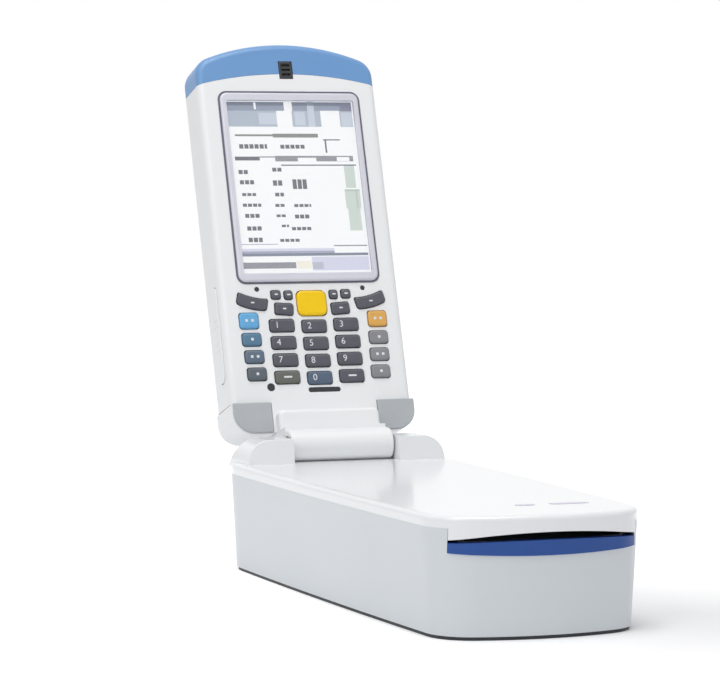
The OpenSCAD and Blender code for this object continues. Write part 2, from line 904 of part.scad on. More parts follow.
module host_board() {
    color(board_green)
        leaning()
            difference() {
                union() {
                    block(-host_board_half, host_board_half, board_y, board_y + board_t,
                        host_posts[0][1] + 4, host_posts[1][1] - 2);
                    for (p = host_posts)
                        block(-p[0] - 2.6, p[0] + 2.6, board_y, board_y + board_t, p[1] - 3, p[1] + 5);
                    block(-glass_w / 2 + 4, glass_w / 2 - 4, panel_y + panel_t + seat_gap, board_y + eps,
                        frame_z - 20, frame_z + 20);
                    block(-host_chip_half, host_chip_half, board_y + board_t - eps, board_y + board_t + 2,
                        host_chip_z[0], host_chip_z[1]);
                }
                for (s = SIDES, p = host_posts)
                    translate([s * p[0], 0, p[1]])
                        rod_y(host_screw_r + slip, board_y - 1, board_y + board_t + 1);
            }
}

module battery_pack() {
    color(grey)
        leaning()
            block(-battery_half + slip, battery_half - slip, board_y + board_t + 3, back_y,
                battery_span[0] + slip, battery_span[1] - slip);
}

module host_screws() {
    color(steel)
        leaning()
            for (s = SIDES, p = host_posts)
                translate([s * p[0], 0, p[1]]) {
                    rod_y(host_screw_r, face_y + 3, host_head_y + 0.5);
                    rod_y(host_head_r, host_head_y + seat_gap, back_y - 1);
                }
}

module side_trigger(side) {
    color(white)
        leaning() {
            trigger_solid(side, 0, trigger_seat - trigger_flange_t, host_half + trigger_proud);
            trigger_solid(side, key_gap + key_lip, trigger_seat - trigger_flange_t, trigger_seat);
        }
}

// A key is [x, z, width, height, corner radius, turn].
KEY_CORNER = 1.6;
SCAN = [0, 59.6, 12, 10, 3.5, 0];
FN_W = [3.3, 3.8, 7.4, 12.2];
FN_X = [9.3, 14.4, 11.6, 24.4];
FN_Z = [63, 63.2, 57.4, 60.4];
FN_H = [3.4, 3.4, 4.6, 4.6];
FN_TURN = [0, 0, 4, 14];
function fn_key(i) = let (k = (i - 1) % 4, s = i > 4 ? 1 : -1)
    [s * FN_X[k], FN_Z[k], FN_W[k], FN_H[k], KEY_CORNER, s * FN_TURN[k]];
tall_extra = 1.2;
function grid_key(r, c) = let (k = c - 3, outer = abs(k) == 2, tall = outer && r == 1)
    [k * col_pitch - (outer ? sign(k) * 0.35 * (r - 1) : 0),
        row_low + (4 - r) * row_pitch + row_smile * k * k / 4 + (tall ? tall_extra / 2 : 0),
        outer ? outer_key_w : key_w, key_h + (tall ? tall_extra : 0), KEY_CORNER, 0];

module key_shape(k, grow, y0, y1) {
    translate([k[0], 0, k[1]])
        rotate([0, -k[5], 0])
            face_extrude(y0, y1)
                round_rect(k[2] + 2 * grow, k[3] + 2 * grow, k[4]);
}

key_lip = 0.35;
key_seat = face_y + host_wall + slip;

module key_solid(k, tint) {
    color(tint)
        leaning() {
            key_shape(k, 0, face_y - key_proud, key_seat + 1);
            key_shape(k, key_gap + key_lip, key_seat, key_seat + 1);
            translate([k[0], 0, k[1]])
                rod_y(1.2, key_seat, board_y - key_travel - small_gap);
        }
}

function grid_tint(r, c) = c == 1 ? (r == 1 ? "#4FA8DC" : "#5A6E80") : c == 5 && r == 1 ? "#F0B050" : key_grey;

base_plate();
reader_housing();
top_cover();
slot_trim();
card_guide();
contact_head();
lead_screw();
drive_carriage();
drive_motor();
reader_board();
reader_battery();
status_lights();
power_button();
reader_screws();
hinge_bracket();
hinge_pin();
hinge_bushes();
dock_cup();
corner_pads();
front_housing();
rear_housing();
top_cap();
receiver_insert();
display_frame();
touch_glass();
display_panel();
host_board();
battery_pack();
host_screws();
side_trigger(-1);  // side_trigger_left
side_trigger(1);  // side_trigger_right
key_solid(SCAN, "#FFCE00");  // scan_key
for (i = FN_KEYS)
    key_solid(fn_key(i), key_grey);
for (r = ROWS, c = COLS)
    key_solid(grid_key(r, c), grid_tint(r, c));
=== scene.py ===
# %% [markdown]
# # A blood gas analyzer, dressed for its picture
# The real thing is a white desktop reader that takes a test card in its front, and a touch-screen
# handheld that stands in a tilting dock on the reader's rear. The engineering model is ready: every
# moving part is a body with joints. This lesson loads it as a fixed frame and builds a finer piece
# over each plain solid, so that the looks and the motion stay in one place.

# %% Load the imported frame
import json
import math
import bmesh
import bpy
from mathutils import Matrix, Vector


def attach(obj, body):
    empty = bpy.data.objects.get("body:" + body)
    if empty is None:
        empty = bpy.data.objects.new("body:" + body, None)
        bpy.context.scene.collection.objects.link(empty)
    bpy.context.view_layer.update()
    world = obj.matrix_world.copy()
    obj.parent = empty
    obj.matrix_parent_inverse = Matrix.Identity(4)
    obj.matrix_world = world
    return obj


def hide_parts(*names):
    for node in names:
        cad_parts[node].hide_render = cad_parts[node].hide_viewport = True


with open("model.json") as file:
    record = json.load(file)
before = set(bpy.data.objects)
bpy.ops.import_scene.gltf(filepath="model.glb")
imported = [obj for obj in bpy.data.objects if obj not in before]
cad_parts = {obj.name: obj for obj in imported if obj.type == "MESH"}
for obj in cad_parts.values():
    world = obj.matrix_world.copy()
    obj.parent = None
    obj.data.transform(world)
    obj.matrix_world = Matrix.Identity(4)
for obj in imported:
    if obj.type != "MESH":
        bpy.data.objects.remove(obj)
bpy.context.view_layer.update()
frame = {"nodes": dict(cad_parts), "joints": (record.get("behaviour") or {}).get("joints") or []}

nodes = frame["nodes"]
joints = {joint["name"]: joint for joint in frame["joints"]}

# %% [markdown]
# ## Two frames to draw in
# Everything is drawn in millimetres. The reader is drawn flat on the desk. The dock and the handheld
# lean back, so they are drawn upright in a frame whose origin is on the hinge axis, and one matrix
# leans them over. Reading the sizes from the frame's own nodes keeps every piece where the model is.

# %% The desk frame, the leaning frame and a measure
# Metres in a millimetre, and millimetres in a metre.
MM = 0.001
METRE = 1000
RIGHT = Vector((1, 0, 0))
hinge = Vector(joints["dock_tilt"]["pos_m"])
up_host = Vector(joints["host_lift"]["axis"]).normalized()
back_host = up_host.cross(RIGHT)
DESK = Matrix.Scale(MM, 4)
lean_turn = Matrix((RIGHT, back_host, up_host)).transposed().to_4x4()
LEAN = Matrix.Translation(hinge) @ lean_turn @ DESK


def measure(node, place):
    """Lowest and highest corner of a node, in millimetres of that frame."""
    to_local = place.inverted()
    spots = [to_local @ vert.co for vert in nodes[node].data.vertices]
    return tuple(Vector([pick(s[i] for s in spots) for i in range(3)]) for pick in (min, max))


lean_angle = math.degrees(math.atan2(up_host.y, up_host.z))
print("hinge at", [round(v * METRE, 1) for v in hinge], "lean", round(lean_angle, 1))

# %% [markdown]
# ## Materials
# The analyzer is mostly moulded plastic. A mould leaves a fine spark-eroded grain, a slight change of
# shade across large faces and a gloss that varies a little, and these three give plastic its look.
# One recipe makes them from noise in Object coordinates, so nothing needs unwrapping. The grain of
# the real mould is about 0.1 mm; it is drawn a few times coarser, because finer would not show.

# %% Colour, node and finish helpers
def linear(code):
    """An sRGB hex colour as the linear RGBA that shaders use."""
    parts = [int(code[i:i + 2], 16) / 255 for i in (1, 3, 5)]
    return [c / 12.92 if c <= 0.04045 else ((c + 0.055) / 1.055) ** 2.4 for c in parts] + [1.0]


def add_node(tree, kind, settings, links=()):
    """Adds one node: settings name its properties or inputs, links name its inputs and their sources."""
    node = tree.nodes.new(kind)
    for key, value in settings.items():
        if isinstance(key, str) and hasattr(node, key):
            setattr(node, key, value)
        else:
            node.inputs[key].default_value = value
    for key, source in links:
        tree.links.new(source, node.inputs[key])
    return node


# A Mix node's colour sockets by number, because its other sockets have the same names.
MIX_A, MIX_B, MIX_RESULT = 6, 7, 2
CLOUD_DETAIL, GRAIN_DETAIL, GRAIN_STRENGTH = 2.0, 3.0, 0.6


def finish(name, colour, shade, cloud_mm, grain_mm, grain_depth_mm, rough, **sockets):
    """A surface whose colour drifts between two shades, with a fine grain in its height and its gloss."""
    material = bpy.data.materials.new(name)
    material.use_nodes = True
    tree = material.node_tree
    shader = tree.nodes["Principled BSDF"]
    where = add_node(tree, "ShaderNodeTexCoord", {}).outputs["Object"]
    cloud = add_node(tree, "ShaderNodeTexNoise", {"Scale": METRE / cloud_mm, "Detail": CLOUD_DETAIL},
                     [("Vector", where)])
    tint = add_node(tree, "ShaderNodeMix",
                    {"data_type": "RGBA", MIX_A: linear(colour), MIX_B: linear(shade)},
                    [("Factor", cloud.outputs["Fac"])])
    grain = add_node(tree, "ShaderNodeTexNoise", {"Scale": METRE / grain_mm, "Detail": GRAIN_DETAIL},
                     [("Vector", where)])
    gloss = add_node(tree, "ShaderNodeMapRange", {"To Min": rough[0], "To Max": rough[1]},
                     [("Value", grain.outputs["Fac"])])
    height = add_node(tree, "ShaderNodeBump",
                      {"Strength": GRAIN_STRENGTH, "Distance": grain_depth_mm * MM},
                      [("Height", grain.outputs["Fac"])])
    for key, source in (("Base Color", tint.outputs[MIX_RESULT]), ("Roughness", gloss.outputs["Result"]),
                        ("Normal", height.outputs["Normal"])):
        tree.links.new(source, shader.inputs[key])
    for key, value in sockets.items():
        shader.inputs[key.replace("_", " ")].default_value = value
    return material


# %% The finishes, each named for its real material
# Moulded ABS on the reader: a cool greyish white with a soft sheen and a hint of grain; its grey is
# partly painted shade, so the shell's sides read dimmer than the deck.
shell_abs_with_shade = finish("grey_white_abs_with_painted_shade", "#E0E5E9", "#D8DEE3", 60, 0.7, 0.012, (0.30, 0.42), IOR=1.54)
# The handheld and the dock are a brighter white than the reader's shell, whose grey is partly painted shade.
white_abs = finish("white_moulded_abs", "#F8F9FA", "#F1F3F5", 60, 0.7, 0.012, (0.30, 0.42), IOR=1.54)
# Polished ABS: the deck's face is smoother and mirrors the room softly.
deck_abs = finish("white_polished_abs", "#F6F7F9", "#F0F2F5", 80, 0.9, 0.004, (0.14, 0.22), IOR=1.54,
                  Coat_Weight=0.25, Coat_Roughness=0.08)
# Blue tinted ABS on the cap, a satin mid blue.
cap_abs = finish("blue_satin_abs", "#73A1D3", "#6596CE", 45, 0.7, 0.010, (0.32, 0.44), IOR=1.54)
# The slot's band is a deeper satin blue so that it is found at a glance.
band_abs = finish("deep_blue_satin_abs", "#1A4F9F", "#174690", 30, 0.7, 0.006, (0.34, 0.44), IOR=1.46)
# Grey elastomer pads: matt, slightly mottled, with a rubbery grain. Their grey also stands in for the
# shade under the handheld's lower corners: painted shade.
pad_rubber_and_shade = finish("grey_elastomer_and_painted_shade", "#BFC3C7", "#B2B7BB", 12, 0.6, 0.030, (0.62, 0.78), IOR=1.50)
# Black glass-filled nylon, dull with a mottled grain: the guide's own colour, while the black of the sole
# is partly painted shadow, standing in for the dark gap under the reader.
black_nylon_and_shadow_sole = finish("black_nylon_and_painted_shadow_sole", "#26272C", "#32343A", 8, 0.5, 0.030, (0.48, 0.66), IOR=1.53)
# Light grey ABS on the battery pack and the power button.
grey_abs = finish("grey_moulded_abs", "#B4B8BC", "#A8ADB2", 25, 0.6, 0.014, (0.36, 0.48), IOR=1.54)
# Zinc-plated steel screws, pin and drive parts: bright, with a fine uneven grain.
steel = finish("zinc_plated_steel", "#C3C6CA", "#AEB2B8", 3, 0.25, 0.010, (0.22, 0.40), Metallic=1.0)
# Sintered bronze bushes: warm and porous.
bronze = finish("sintered_bronze", "#B08D4A", "#8F6F36", 2, 0.4, 0.020, (0.35, 0.55), Metallic=1.0)
# Solder-masked board: green lacquer over copper, with a mottled gloss.
board_lacquer = finish("green_solder_mask", "#2F6B4A", "#26573C", 5, 1.2, 0.020, (0.25, 0.45), IOR=1.50)
# Shrink-wrapped battery cells: a smooth grey film.
cell_wrap = finish("grey_cell_wrap", "#5B6068", "#4D525A", 14, 0.8, 0.015, (0.35, 0.50), IOR=1.50)
# Clear violet-tinted light pipes, frosted below.
light_pipe = finish("violet_light_pipe", "#AFA6C8", "#9A92B6", 6, 0.8, 0.008, (0.15, 0.25), IOR=1.49,
                    Coat_Weight=0.5)
# Black polycarbonate on the ear-piece and the face's small details: dark and fairly glossy.
black_gloss = finish("black_polycarbonate", "#15161A", "#1F2126", 5, 0.5, 0.008, (0.20, 0.34), IOR=1.58)
print("finishes:", len(bpy.data.materials))

# %% [markdown]
# ## Drawing outlines and making solids
# A reader's plan and a handheld's face are outlines of lines and arcs that are the same on both sides.
# A spin turns one vertex round a centre into an arc, an extrude draws a line, and a mirror closes the
# ring. Extruding the filled ring gives a solid, and exact Booleans cut the openings, much as a
# designer would. A cutter reaches a few millimetres past the face it cuts, so that no thin skin is
# left. It could be done by box modelling too, but arcs keep the edges clean and even.

# %% Outline, solid, carve and dress helpers
def spot(plane, a, b, level):
    """A point of a flat drawing: plan lies on the desk, face stands upright."""
    return Vector((a, b, level)) if plane == "plan" else Vector((a, level, b))


def half_outline(bm, plane, level, start, moves):
    """Draws half an outline, mirrors it and returns the closed ring. A move is a line's end (a, b), or an
    arc's centre, its degrees and its steps (a, b, degrees, steps)."""
    axis = (0, 0, 1) if plane == "plan" else (0, -1, 0)
    known = set(bm.edges)
    vert = bm.verts.new(spot(plane, *start, level))
    for move in moves:
        if len(move) == 2:
            vert = bmesh.ops.extrude_vert_indiv(bm, verts=[vert])["verts"][0]
            vert.co = spot(plane, *move, level)
        else:
            swept = bmesh.ops.spin(bm, geom=[vert], cent=spot(plane, *move[:2], level), axis=axis,
                                   angle=math.radians(move[2]), steps=move[3])
            vert = next(g for g in swept["geom_last"] if isinstance(g, bmesh.types.BMVert))
    half = [edge for edge in bm.edges if edge not in known]
    ends = list({v for edge in half for v in edge.verts})
    bmesh.ops.mirror(bm, geom=ends + half, axis="X", merge_dist=0.001)
    return [edge for edge in bm.edges if edge not in known]


def thicken(bm, ring, along):
    """Fills a ring and extrudes it into a closed solid."""
    face = bmesh.ops.contextual_create(bm, geom=ring)["faces"]
    grown = bmesh.ops.extrude_face_region(bm, geom=face)["geom"]
    bmesh.ops.translate(bm, verts=[g for g in grown if isinstance(g, bmesh.types.BMVert)], vec=along)


# An edge lies in a plane within this many mm, and runs along an axis above this cosine.
IN_PLANE, ALONG = 0.002, 0.999


def edges_at(bm, axis, level):
    """Edges that lie in the plane where that axis has that value."""
    i = "xyz".index(axis)
    return [e for e in bm.edges if all(abs(v.co[i] - level) < IN_PLANE for v in e.verts)]


def edges_along(bm, axis):
    """Edges that run along an axis."""
    i = "xyz".index(axis)
    return [e for e in bm.edges if abs((e.verts[1].co - e.verts[0].co).normalized()[i]) > ALONG]


def round_edges(bm, edges, radius, steps):
    """Rounds edges with a bevel of that radius."""
    bmesh.ops.bevel(bm, geom=edges, offset=radius, offset_type="OFFSET", segments=steps, profile=0.5,
                    affect="EDGES", clamp_overlap=True, material=-1)


def block(low, high, axis="z", corner=0.0, rim_low=0.0, rim_high=0.0, steps=5):
    """A new bmesh with a block, its corners rounded along one axis and its two end rims softened."""
    bm = bmesh.new()
    low, high = Vector(low), Vector(high)
    bmesh.ops.create_cube(bm, size=1, matrix=Matrix.Translation((low + high) / 2)
                          @ Matrix.Diagonal((*(high - low), 1)))
    if corner:
        round_edges(bm, edges_along(bm, axis), corner, steps)
    i = "xyz".index(axis)
    for level, radius in ((low[i], rim_low), (high[i], rim_high)):
        if radius:
            round_edges(bm, edges_at(bm, axis, level), radius, steps=4)
    return bm


def rod(axis, centre, radius, start, end, rim=0.0, steps=40):
    """A new bmesh with a round rod along an axis, its end rims softened."""
    bm = bmesh.new()
    turn = {"x": Matrix.Rotation(math.pi / 2, 4, "Y"), "y": Matrix.Rotation(math.pi / 2, 4, "X"),
            "z": Matrix.Identity(4)}[axis]
    i = "xyz".index(axis)
    middle = Vector(centre)
    middle[i] = (start + end) / 2
    bmesh.ops.create_cone(bm, cap_ends=True, segments=steps, radius1=radius, radius2=radius,
                          depth=end - start, matrix=Matrix.Translation(middle) @ turn)
    if rim:
        round_edges(bm, edges_at(bm, axis, start) + edges_at(bm, axis, end), rim, steps=3)
    return bm


def as_object(bm, name="tool"):
    """Closes a bmesh into an object, with doubles merged and faces turned outwards."""
    bmesh.ops.remove_doubles(bm, verts=bm.verts[:], dist=0.0005)
    bmesh.ops.recalc_face_normals(bm, faces=bm.faces[:])
    mesh = bpy.data.meshes.new(name)
    bm.to_mesh(mesh)
    bm.free()
    obj = bpy.data.objects.new(name, mesh)
    bpy.context.scene.collection.objects.link(obj)
    return obj


def together(bms):
    """One bmesh that holds several, unchanged."""
    whole = bmesh.new()
    for bm in bms:
        bmesh.ops.recalc_face_normals(bm, faces=bm.faces[:])
        mesh = bpy.data.meshes.new("part")
        bm.to_mesh(mesh)
        bm.free()
        whole.from_mesh(mesh)
        bpy.data.meshes.remove(mesh)
    return whole


def carve(obj, operation, *bms):
    """Applies one exact Boolean after another: DIFFERENCE, UNION or INTERSECT."""
    for bm in bms:
        tool = as_object(bm)
        cut = obj.modifiers.new("carve", "BOOLEAN")
        cut.operation, cut.solver, cut.object = operation, "EXACT", tool
        bpy.context.view_layer.update()
        ready = obj.evaluated_get(bpy.context.evaluated_depsgraph_get())
        mesh = bpy.data.meshes.new_from_object(ready)
        obj.modifiers.clear()
        old, obj.data = obj.data, mesh
        bpy.data.meshes.remove(old)
        bpy.data.meshes.remove(tool.data)
    return obj


def copy_of(obj):
    """A second object with its own mesh."""
    twin = obj.copy()
    twin.data = obj.data.copy()
    bpy.context.scene.collection.objects.link(twin)
    return twin


# Edges that turn more than this are shaded as edges and softened.
CREASE = math.radians(38)


def dress(obj, name, place, body, finishes, replaced=(), soften=0.0):
    """Names a piece, sets it in place, gives it finishes and soft edges, and lets it ride on its body."""
    obj.name = obj.data.name = name
    obj.data.transform(place)
    for material in finishes:
        obj.data.materials.append(material)
    obj.data.polygons.foreach_set("use_smooth", [True] * len(obj.data.polygons))
    obj.data.set_sharp_from_angle(angle=CREASE)
    if soften:
        edge = obj.modifiers.new("soft edges", "BEVEL")
        edge.width, edge.segments, edge.limit_method = soften * MM, 2, "ANGLE"
        edge.angle_limit = CREASE
        edge.use_clamp_overlap = True
    even = obj.modifiers.new("even shading", "WEIGHTED_NORMAL")
    even.keep_sharp = True
    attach(obj, body)
    if replaced:
        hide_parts(*replaced)
    print("made", name, "with", len(obj.data.polygons), "faces on", body)
    return obj


# %% [markdown]
# ## The reader's shell
# The lower half of the reader is one white moulding whose sides lean in towards the desk. Its plan has
# round rear corners, sides that narrow slowly and a swept front. Four rings, two outside and two
# inside, are bridged into a wall of even thickness, which is how a mould makes it too. The slot, the
# socket and the button are then cut out of it.

# %% The plan of the reader
low_cover, high_cover = measure("top_cover", DESK)
low_shell, high_shell = measure("reader_housing", DESK)
READER_W, FRONT_W = high_cover.x * 2, 76
FRONT, REAR = low_cover.y, high_cover.y
REAR_R, FRONT_R, SWEEP_R = 25, 18, 90
DRAFT, WALL, LIP = 2.0, 2.6, 3.0
rear_cx, rear_cy = READER_W / 2 - REAR_R, REAR - REAR_R
corner_cx, sweep_cy = FRONT_W / 2 - FRONT_R, FRONT + SWEEP_R
corner_cy = sweep_cy - math.sqrt((SWEEP_R - FRONT_R) ** 2 - corner_cx ** 2)
sweep_turn = math.degrees(math.atan2(sweep_cy - corner_cy, corner_cx))
side_run, side_in = rear_cy - corner_cy, (READER_W - FRONT_W) / 2
side_r = (side_run ** 2 + side_in ** 2) / (2 * side_in)
side_turn = math.degrees(math.asin(side_run / side_r))


def reader_ring(bm, inset, z):
    """The reader's plan at one height, drawn in from its edge by inset."""
    return half_outline(bm, "plan", z, (0, REAR - inset), [
        (rear_cx, REAR - inset), (rear_cx, rear_cy, -90, 14),
        (READER_W / 2 - inset - side_r, rear_cy, -side_turn, 16),
        (corner_cx, corner_cy, -sweep_turn, 12), (0, sweep_cy, sweep_turn - 90, 14)])


def reader_slab(inset, z0, z1):
    """A flat slab with the reader's plan."""
    bm = bmesh.new()
    thicken(bm, reader_ring(bm, inset, z0), (0, 0, z1 - z0))
    return bm


print("reader", round(REAR - FRONT, 1), "x", round(READER_W, 1), "mm")

# %% The lens-shaped slot, drawn as arches
low_trim, high_trim = measure("slot_trim", DESK)
SLOT_HALF, SLOT_BACK = high_trim.x, FRONT + 15
TRIM_BACK = SLOT_BACK - 0.2
TRIM_Z, SILL_Z = low_trim.z, high_trim.z
TRIM_RISE, SILL_DROP = 1.0, 0.8
ARCH_Z, ARCH_DROP = 35.0, 2.4


def arch_prism(lower, upper, half, y0, y1):
    """A solid between two shallow arches, each (height at the middle, drop towards the ends)."""
    bm = bmesh.new()
    moves, start = [], None
    for (mid, drop), sign in ((upper, -1), (lower, 1)):
        end = mid - drop
        if abs(drop) < 0.01:
            path = [(half, end)] if sign < 0 else [(0, end)]
        else:
            r = (half ** 2 + drop ** 2) / (2 * drop)
            swing = math.degrees(math.asin(half / abs(r))) * (1 if drop > 0 else -1)
            path = [(0, mid - r, sign * swing, 16)]
        if sign < 0:
            start = (0, mid)
            moves += path
        else:
            moves += [(half, end)] + path
    thicken(bm, half_outline(bm, "face", y0, start, moves), (0, y1 - y0, 0))
    return bm


print("slot", round(SLOT_HALF * 2, 1), "mm wide")

# %% Bridge the shell's rings and cut its openings
def reader_wall(z0, z1, draft, wall):
    """The reader's side walls, which lean in towards the desk."""
    bm = bmesh.new()
    rings = [reader_ring(bm, inset, z) for inset, z in
             ((draft, z0), (0, z1), (wall, z1), (draft + wall, z0))]
    for ring, following in zip(rings, rings[1:] + rings[:1]):
        bmesh.ops.bridge_loops(bm, edges=ring + following)
    return bm


PORT_Z, JACK_X, BUTTON_X = 27.5, -12, 12
JACK_HOLE_R, BUTTON_HOLE_R, SLOT_SLIP = 3.55, 4.3, 0.1
shell = as_object(reader_wall(low_shell.z, high_shell.z, DRAFT, WALL))
carve(shell, "DIFFERENCE",
      arch_prism((TRIM_Z, -TRIM_RISE), (high_shell.z + 5, 0), SLOT_HALF + SLOT_SLIP, FRONT - 3, SLOT_BACK),
      rod("y", (JACK_X, 0, PORT_Z), JACK_HOLE_R, REAR - 8, REAR + 4),
      rod("y", (BUTTON_X, 0, PORT_Z), BUTTON_HOLE_R, REAR - 8, REAR + 4))
dress(shell, "reader_shell", DESK, "reader", [shell_abs_with_shade], ["reader_housing"], soften=0.35)

# %% [markdown]
# ## The deck with its hinge shoulders
# The deck is a polished lid with rounded rims. Two shoulders rise at its rear to hold the hinge pin, and
# an arched lip hangs over the card slot. Each shoulder starts as a cube whose upper face is pulled in,
# and its outer edges get large bevels. A union joins them, so the deck reads as one moulding.

# %% Deck, lip and shoulders
HINGE_Y, HINGE_Z = hinge.y * METRE, hinge.z * METRE
high_knuckle = measure("hinge_bracket", LEAN)[1]
NECK = high_knuckle.x
SHOULDER_GAP, SHOULDER_SETBACK = 0.7, 3
SHOULDER_IN, SHOULDER_OUT = NECK + SHOULDER_GAP, READER_W / 2 - SHOULDER_SETBACK
DECK_RIM, DECK_T, LIP_LAP, LIGHT_PROUD = 1.8, 2.5, 0.5, 0.1
light_low, light_high = measure("status_lights", DESK)
deck_bm = reader_slab(0, high_shell.z, light_high.z - LIGHT_PROUD)
DECK_Z = max(v.co.z for v in deck_bm.verts)
round_edges(deck_bm, edges_at(deck_bm, "z", DECK_Z), DECK_RIM, 5)
deck = as_object(deck_bm)
carve(deck, "DIFFERENCE", reader_slab(LIP, high_shell.z - 1, DECK_Z - DECK_T))
# A shoulder's front and rear, at its top and at its foot, from the hinge axis.
FRONT_TOP, FRONT_FOOT, REAR_TOP, REAR_FOOT = -9.5, -11, 3, 13.3
SHOULDER_LIFT, SHOULDER_ROUND, SHOULDER_SOFT = 1.6, 8.5, 2.0


def shoulder(side):
    """One hinge shoulder: a tapered block with a large outer rounding."""
    bm = bmesh.new()
    x0, x1 = SHOULDER_IN, SHOULDER_OUT
    z0, z1 = high_shell.z + SHOULDER_LIFT, high_cover.z
    bmesh.ops.create_cube(bm, size=1, matrix=Matrix.Translation(((x0 + x1) / 2, 0, (z0 + z1) / 2))
                          @ Matrix.Diagonal((x1 - x0, 1, z1 - z0, 1)))
    for vert in bm.verts:
        at_front, at_rear = (FRONT_TOP, REAR_TOP) if vert.co.z > (z0 + z1) / 2 else (FRONT_FOOT, REAR_FOOT)
        vert.co.y = HINGE_Y + (at_front if vert.co.y < 0 else at_rear)
    outer = [e for e in edges_along(bm, "y") if e.verts[0].co.x > x1 - 1 and e.verts[0].co.z > z1 - 1]
    round_edges(bm, outer, SHOULDER_ROUND, 8)
    front_line = HINGE_Y + FRONT_TOP + 0.5
    front = [e for e in bm.edges if all(v.co.y < front_line and v.co.z > z0 + 1 for v in e.verts)
             and abs(e.verts[0].co.x - e.verts[1].co.x) > 0.01]
    round_edges(bm, front, SHOULDER_SOFT, 4)
    if side < 0:
        bmesh.ops.scale(bm, vec=(-1, 1, 1), verts=bm.verts)
    return bm


lip = as_object(reader_slab(0, ARCH_Z - 4, high_shell.z + LIP_LAP))
carve(lip, "DIFFERENCE", reader_slab(LIP, ARCH_Z - 5, high_shell.z + 2))
carve(lip, "INTERSECT",
      arch_prism((ARCH_Z, ARCH_DROP), (high_shell.z + 3, 0), SLOT_HALF, FRONT - 3, TRIM_BACK))
lip_bm = bmesh.new()
lip_bm.from_mesh(lip.data)
bpy.data.meshes.remove(lip.data)
carve(deck, "UNION", lip_bm, shoulder(-1), shoulder(1))

# %% The hinge trough, the pin's hole and the windows for the lights
# Each light is (x, width).
LIGHTS = ((3, 7), (19, 14))
LIGHT_FLANGE, WINDOW_GAP = 1.0, 0.15
TROUGH_R, PIN_HOLE_R, PIN_END = 6.9, 2.6, 34.2
light_y, light_h = (light_low.y + light_high.y) / 2, light_high.y - light_low.y - 2 * LIGHT_FLANGE
WINDOW_ROUND, PIPE_ROUND = light_h / 2 - 0.1, light_h / 2 - 0.2


def light_block(light, grow, z0, z1, corner, rim=0.0):
    """A block with round ends: a light, or its window when it is grown."""
    x, width = light
    return block((x - width / 2 - grow, light_y - light_h / 2 - grow, z0),
                 (x + width / 2 + grow, light_y + light_h / 2 + grow, z1), "z", corner, 0, rim)


windows = [light_block(light, WINDOW_GAP, DECK_Z - 4, DECK_Z + 1, WINDOW_ROUND) for light in LIGHTS]
carve(deck, "DIFFERENCE",
      rod("x", (0, HINGE_Y, HINGE_Z), TROUGH_R, -SHOULDER_IN, SHOULDER_IN, steps=64),
      rod("x", (0, HINGE_Y, HINGE_Z), PIN_HOLE_R, -PIN_END, READER_W / 2), *windows)
dress(deck, "deck_cover", DESK, "reader", [deck_abs], ["top_cover"], soften=0.3)

# %% [markdown]
# ## The slot's blue band and the status lights
# The band under the card slot is a short blue moulding that follows the reader's swept front. It is cut
# from a ring of the reader's plan with two arches, so it can't miss the shell's curve. The lights are
# two frosted pipes with round ends, a tenth of a millimetre proud of the deck.

# %% Band and light pipes
band = as_object(reader_slab(0, TRIM_Z - 1, SILL_Z + 1))
carve(band, "DIFFERENCE", reader_slab(LIP, TRIM_Z - 2, SILL_Z + 2))
carve(band, "INTERSECT",
      arch_prism((TRIM_Z, -TRIM_RISE), (SILL_Z, SILL_DROP), SLOT_HALF, FRONT - 3, TRIM_BACK))
dress(band, "slot_band", DESK, "reader", [band_abs], ["slot_trim"], soften=0.5)

PIPE_DEPTH, PIPE_RIM = 3.2, 0.35
pipes = together([light_block(light, 0, DECK_Z - PIPE_DEPTH, DECK_Z + LIGHT_PROUD, PIPE_ROUND, PIPE_RIM)
                  for light in LIGHTS])
dress(as_object(pipes), "status_light_pipes", DESK, "reader", [light_pipe], ["status_lights"])

# %% [markdown]
# ## The hinge knuckle and the dock's cradle
# The knuckle is a barrel between the shoulders, with a tongue that carries the cradle. The cradle is a
# thin-walled cup, flush with the handheld's sides, with a back wall to lean on. Here a designer would
# draw the outer form, round it, and subtract the handheld with a little clearance. The same is done
# with Booleans, and the pads are cut from the cup's own outline.

# %% Knuckle
BARREL_R, BARREL_RIM, HAIRLINE = 6.2, 0.6, 0.02
TONGUE_T, FOOT_T, BUSH_HOLE_R, BUSH_L = 4.4, 3.4, 4.02, 8
low_cup, high_cup = measure("dock_cup", LEAN)
low_face, high_face = measure("front_housing", LEAN)
low_pad, high_pad = measure("corner_pads", LEAN)
FACE_Y, HOST_HALF, HEEL_Z = low_face.y, high_face.x, low_face.z
BACK_Y = measure("rear_housing", LEAN)[1].y
CUP_LOW, CUP_HALF, CUP_TOP = low_cup.z, high_cup.x, high_pad.z
PAD_Y0, PAD_Y1 = low_pad.y, high_pad.y
CUP_FRONT, CUP_BACK = low_cup.y, high_cup.y
knuckle = as_object(rod("x", (0, 0, 0), BARREL_R, -NECK, NECK, BARREL_RIM, 72))
carve(knuckle, "UNION",
      block((-NECK, CUP_FRONT - TONGUE_T, 0), (NECK, CUP_FRONT - HAIRLINE, high_knuckle.z), "y",
            corner=2.2, rim_low=1.6),
      block((-NECK, 0, CUP_LOW - FOOT_T), (NECK, high_knuckle.y, CUP_LOW - HAIRLINE), "z",
            corner=1.2, rim_low=0.5))
carve(knuckle, "DIFFERENCE", rod("x", (0, 0, 0), PIN_HOLE_R, -NECK - 1, NECK + 1),
      rod("x", (0, 0, 0), BUSH_HOLE_R, NECK - BUSH_L, NECK + 1),
      rod("x", (0, 0, 0), BUSH_HOLE_R, -NECK - 1, BUSH_L - NECK))
dress(knuckle, "hinge_knuckle", LEAN, "dock", [white_abs], ["hinge_bracket"], soften=0.3)

